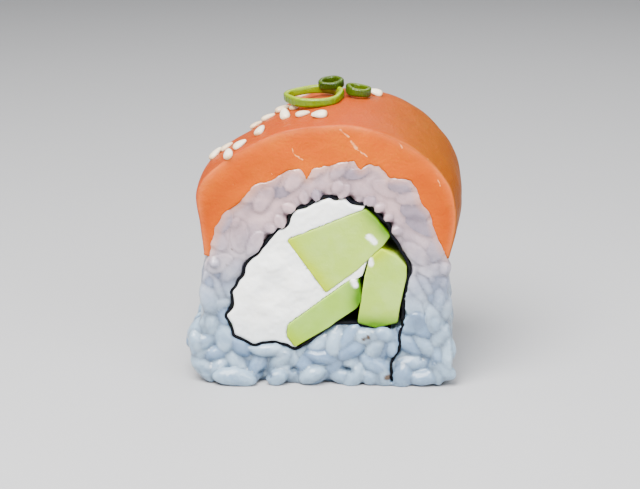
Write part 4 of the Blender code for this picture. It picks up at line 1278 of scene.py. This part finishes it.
class SUSHI_OT_sesame(bpy.types.Operator):
    """Builds the sesame seeds: flat drops with one pointed end, lying on the salmon"""

    bl_idname = "sushi_slice.sesame"
    bl_label = "Sesame seeds"

    def execute(self, context):
        rng = np.random.default_rng(17)
        rings, sides = 11, 12
        u = np.linspace(0, math.pi, rings + 2)[1:-1]
        turn = np.arange(sides) * 2 * math.pi / sides
        girth = np.sin(u) ** 0.8 * (1 + 0.3 * np.cos(u))
        all_points, all_faces, tips = [], [], []
        for x, y, heading, lean, brown in SESAME:
            point, out = salmon_point(x, y)
            point += out * 0.6 * math.sin(math.radians(lean))
            out = out + (0.0, -math.tan(math.radians(lean)), 0.0)
            out /= np.linalg.norm(out)
            along = np.cross(out, (0.0, -1.0, 0.0))
            along /= np.linalg.norm(along)
            aside = np.cross(out, along)
            a = math.radians(heading)
            length = math.cos(a) * along + math.sin(a) * aside
            width = np.cross(out, length)
            size = np.array([1.5, 0.92, 0.6]) * rng.uniform(0.86, 1.08)
            grid = point + out * 0.28 + (-np.cos(u)[:, None, None]) * length * size[0]
            grid = grid + girth[:, None, None] * np.cos(turn)[None, :, None] * width * size[1]
            grid = grid + girth[:, None, None] * np.sin(turn)[None, :, None] * out * size[2]
            points, faces = closed_tube(grid)
            all_faces += [[corner + sum(map(len, all_points)) for corner in face] for face in faces]
            all_points.append(points)
            tip = np.repeat(np.maximum(np.clip((np.cos(u) - 0.55) * 2, 0, 1), brown), sides)
            tips.append(with_ends(tip, (1.0, brown)))
        material, values = seed_material(context.scene.sushi_salmon), {"tip": np.concatenate(tips)}
        add_piece("sesame_seeds", np.vstack(all_points), all_faces, material, values=values)
        return {"FINISHED"}


# Spring onion


class OnionSettings(bpy.types.PropertyGroup):
    leaf_colour: colour_setting("Leaf colour", "Green of the leaf's outside", (0.10, 0.165, 0.0))
    rim_colour: colour_setting("Rim colour", "Paler green of the cut rims", (0.215, 0.29, 0.0))


def onion_material(settings):
    scatter = (0.4, (0.6, 1.0, 0.2), 0.0009)
    material, tree, shader = new_material("spring onion", 0.3, 0.3, scatter=scatter, coat=(0.12, 0.1))
    colour = mottled(tree, settings.leaf_colour, (0.125, 0.185, 0.0), 0.9, 500.0)
    colour = blend_colours(tree, attribute(tree, "rim"), colour, settings.rim_colour)
    colour = blend_colours(tree, attribute(tree, "shaded"), colour, (0.20, 0.26, 0.08), mode="MULTIPLY")
    finish(tree, shader, colour, (900.0, 3500.0, 0.4), 0.00015)
    return material


class SUSHI_OT_spring_onion(bpy.types.Operator):
    """Builds the spring onion rings: ribbed walls carried round uneven ovals"""

    bl_idname = "sushi_slice.spring_onion"
    bl_label = "Spring onion"

    def execute(self, context):
        material = onion_material(context.scene.sushi_onion)
        stations = 144
        for index, (name, (middle, half, height, wall_width, tilt, shaded)) in enumerate(RINGS.items()):
            angle = np.linspace(0, 2 * math.pi, stations, endpoint=False)
            place, way = section_loop(across=5, along=12, corner=3)
            radius = wall_width * 0.42
            over = place[:, 0] * (wall_width / 2 - radius) + way[:, 0] * radius
            up = place[:, 1] * (height / 2 - radius) + way[:, 1] * radius
            wave = 1 + 0.04 * np.sin(3 * angle + half[0]) + 0.02 * np.sin(5 * angle + index)
            rib = 0.035 * np.cos(30 * angle)[:, None] * np.clip(way[:, 0], 0, 1)
            reach = over[None] + rib - wall_width / 2
            x = (half[0] * wave[:, None] + reach) * np.cos(angle)[:, None]
            y = (half[1] * wave[:, None] + reach) * np.sin(angle)[:, None]
            z = up[None] * (1 + 0.08 * np.sin(2 * angle + index))[:, None]
            grid = np.stack([x, y, z], axis=-1)
            points = grid.reshape(-1, 3) @ np.array(Euler(np.radians(tilt)).to_matrix()).T + middle
            rim = np.clip(np.abs(way[:, 1]) * 1.6 - 0.6, 0, 1)
            pale = np.maximum(rim, np.clip(-way[:, 0], 0, 1) * 0.45)
            values = {"rim": np.tile(pale, stations), "shaded": np.full(len(points), shaded)}
            faces = grid_faces(stations, len(way), ring=True).tolist()
            piece = f"{name}_ring"
            add_piece(piece, points, faces, material, (name,), values, straight=False)
        return {"FINISHED"}


# Stage


class StageSettings(bpy.types.PropertyGroup):
    floor_colour: colour_setting("Floor colour", "Plain pale floor", (0.40, 0.40, 0.41))
    key_power: FloatProperty(name="Key light", description="Power of the large soft light", default=11.5)
    fill_power: FloatProperty(name="Fill light", description="Power of the weaker lights", default=2.7)


def view_direction(azimuth, elevation):
    """From the slice towards a viewer: azimuth 0 stands in front, positive to the right."""
    a, e = math.radians(azimuth), math.radians(elevation)
    return Vector((math.sin(a) * math.cos(e), -math.cos(a) * math.cos(e), math.sin(e)))


class SUSHI_OT_stage(bpy.types.Operator):
    """Builds the floor, the soft lights and the camera"""

    bl_idname = "sushi_slice.stage"
    bl_label = "Stage"

    def execute(self, context):
        settings = context.scene.sushi_stage
        self.add_floor(settings)
        powers = settings.key_power, settings.fill_power, settings.fill_power * BACK_LIGHT_SHARE
        for (name, placing), power in zip(LIGHTS.items(), powers):
            self.add_light(name, *placing, power)
        world = bpy.data.worlds.new("studio")
        world.use_nodes = True
        background = world.node_tree.nodes["Background"]
        background.inputs["Color"].default_value = SURROUNDINGS
        background.inputs["Strength"].default_value = SURROUNDINGS_STRENGTH
        context.scene.world = world
        camera_data = bpy.data.cameras.new("camera")
        camera_data.lens = VIEW_LENS
        camera_data.clip_start = 0.01
        camera = bpy.data.objects.new("camera", camera_data)
        back = view_direction(VIEW_AZIMUTH, VIEW_ELEVATION)
        camera.location = (Vector(AIM_AT) + back * VIEW_DISTANCE) * MM
        camera.rotation_euler = (-back).to_track_quat("-Z", "Y").to_euler()
        context.scene.collection.objects.link(camera)
        context.scene.camera = camera
        return {"FINISHED"}

    def add_floor(self, settings):
        mesh = bpy.data.meshes.new("floor")
        corners = [(x * FLOOR_HALF, y * FLOOR_HALF, 0) for x, y in ((-1, -1), (1, -1), (1, 1), (-1, 1))]
        mesh.from_pydata(corners, [], [(0, 1, 2, 3)])
        material, tree, shader = new_material("floor", 0.6)
        colour = mottled(tree, settings.floor_colour, settings.floor_colour, 0.0, 400.0)
        tree.links.new(colour, shader.inputs["Base Color"])
        mesh.materials.append(material)
        floor = bpy.data.objects.new("floor", mesh)
        bpy.context.scene.collection.objects.link(floor)

    def add_light(self, name, azimuth, elevation, size, colour, power):
        """A round soft light that faces the slice."""
        data = bpy.data.lights.new(name, "AREA")
        data.shape = "DISK"
        data.size = size
        data.energy = power
        data.color = colour
        light = bpy.data.objects.new(name, data)
        towards = view_direction(azimuth, elevation)
        light.location = Vector(LIGHTS_FACE) + towards * LIGHT_DISTANCE
        light.rotation_euler = (-towards).to_track_quat("-Z", "Y").to_euler()
        bpy.context.scene.collection.objects.link(light)


class SUSHI_PT_slice(bpy.types.Panel):
    """Lists the pieces of the slice and their settings"""

    bl_label = "Philadelphia roll slice"
    bl_idname = "SUSHI_PT_slice"
    bl_space_type = "VIEW_3D"
    bl_region_type = "UI"
    bl_category = "Sushi"

    def draw(self, context):
        for operator in OPERATORS:
            self.layout.operator(operator.bl_idname)
        for name in SETTINGS:
            box = self.layout.box()
            group = getattr(context.scene, name)
            for title in group.__annotations__:
                box.prop(group, title)


SETTINGS = {
    "sushi_rice": RiceSettings,
    "sushi_nori": NoriSettings,
    "sushi_filling": FillingSettings,
    "sushi_salmon": SalmonSettings,
    "sushi_onion": OnionSettings,
    "sushi_stage": StageSettings,
}
OPERATORS = (
    SUSHI_OT_stage,
    SUSHI_OT_rice,
    SUSHI_OT_nori,
    SUSHI_OT_cream_cheese,
    SUSHI_OT_cucumber,
    SUSHI_OT_salmon,
    SUSHI_OT_sesame,
    SUSHI_OT_spring_onion,
)


def register():
    for cls in (*SETTINGS.values(), *OPERATORS, SUSHI_PT_slice):
        bpy.utils.register_class(cls)
    for name, cls in SETTINGS.items():
        setattr(bpy.types.Scene, name, PointerProperty(type=cls))


def unregister():
    for name in SETTINGS:
        delattr(bpy.types.Scene, name)
    for cls in (SUSHI_PT_slice, *OPERATORS[::-1], *list(SETTINGS.values())[::-1]):
        bpy.utils.unregister_class(cls)


def main():
    register()
    bpy.ops.sushi_slice.stage()
    bpy.ops.sushi_slice.rice()
    bpy.ops.sushi_slice.nori()
    bpy.ops.sushi_slice.cream_cheese()
    bpy.ops.sushi_slice.cucumber()
    bpy.ops.sushi_slice.salmon()
    bpy.ops.sushi_slice.sesame()
    bpy.ops.sushi_slice.spring_onion()


if __name__ == "__main__":
    main()
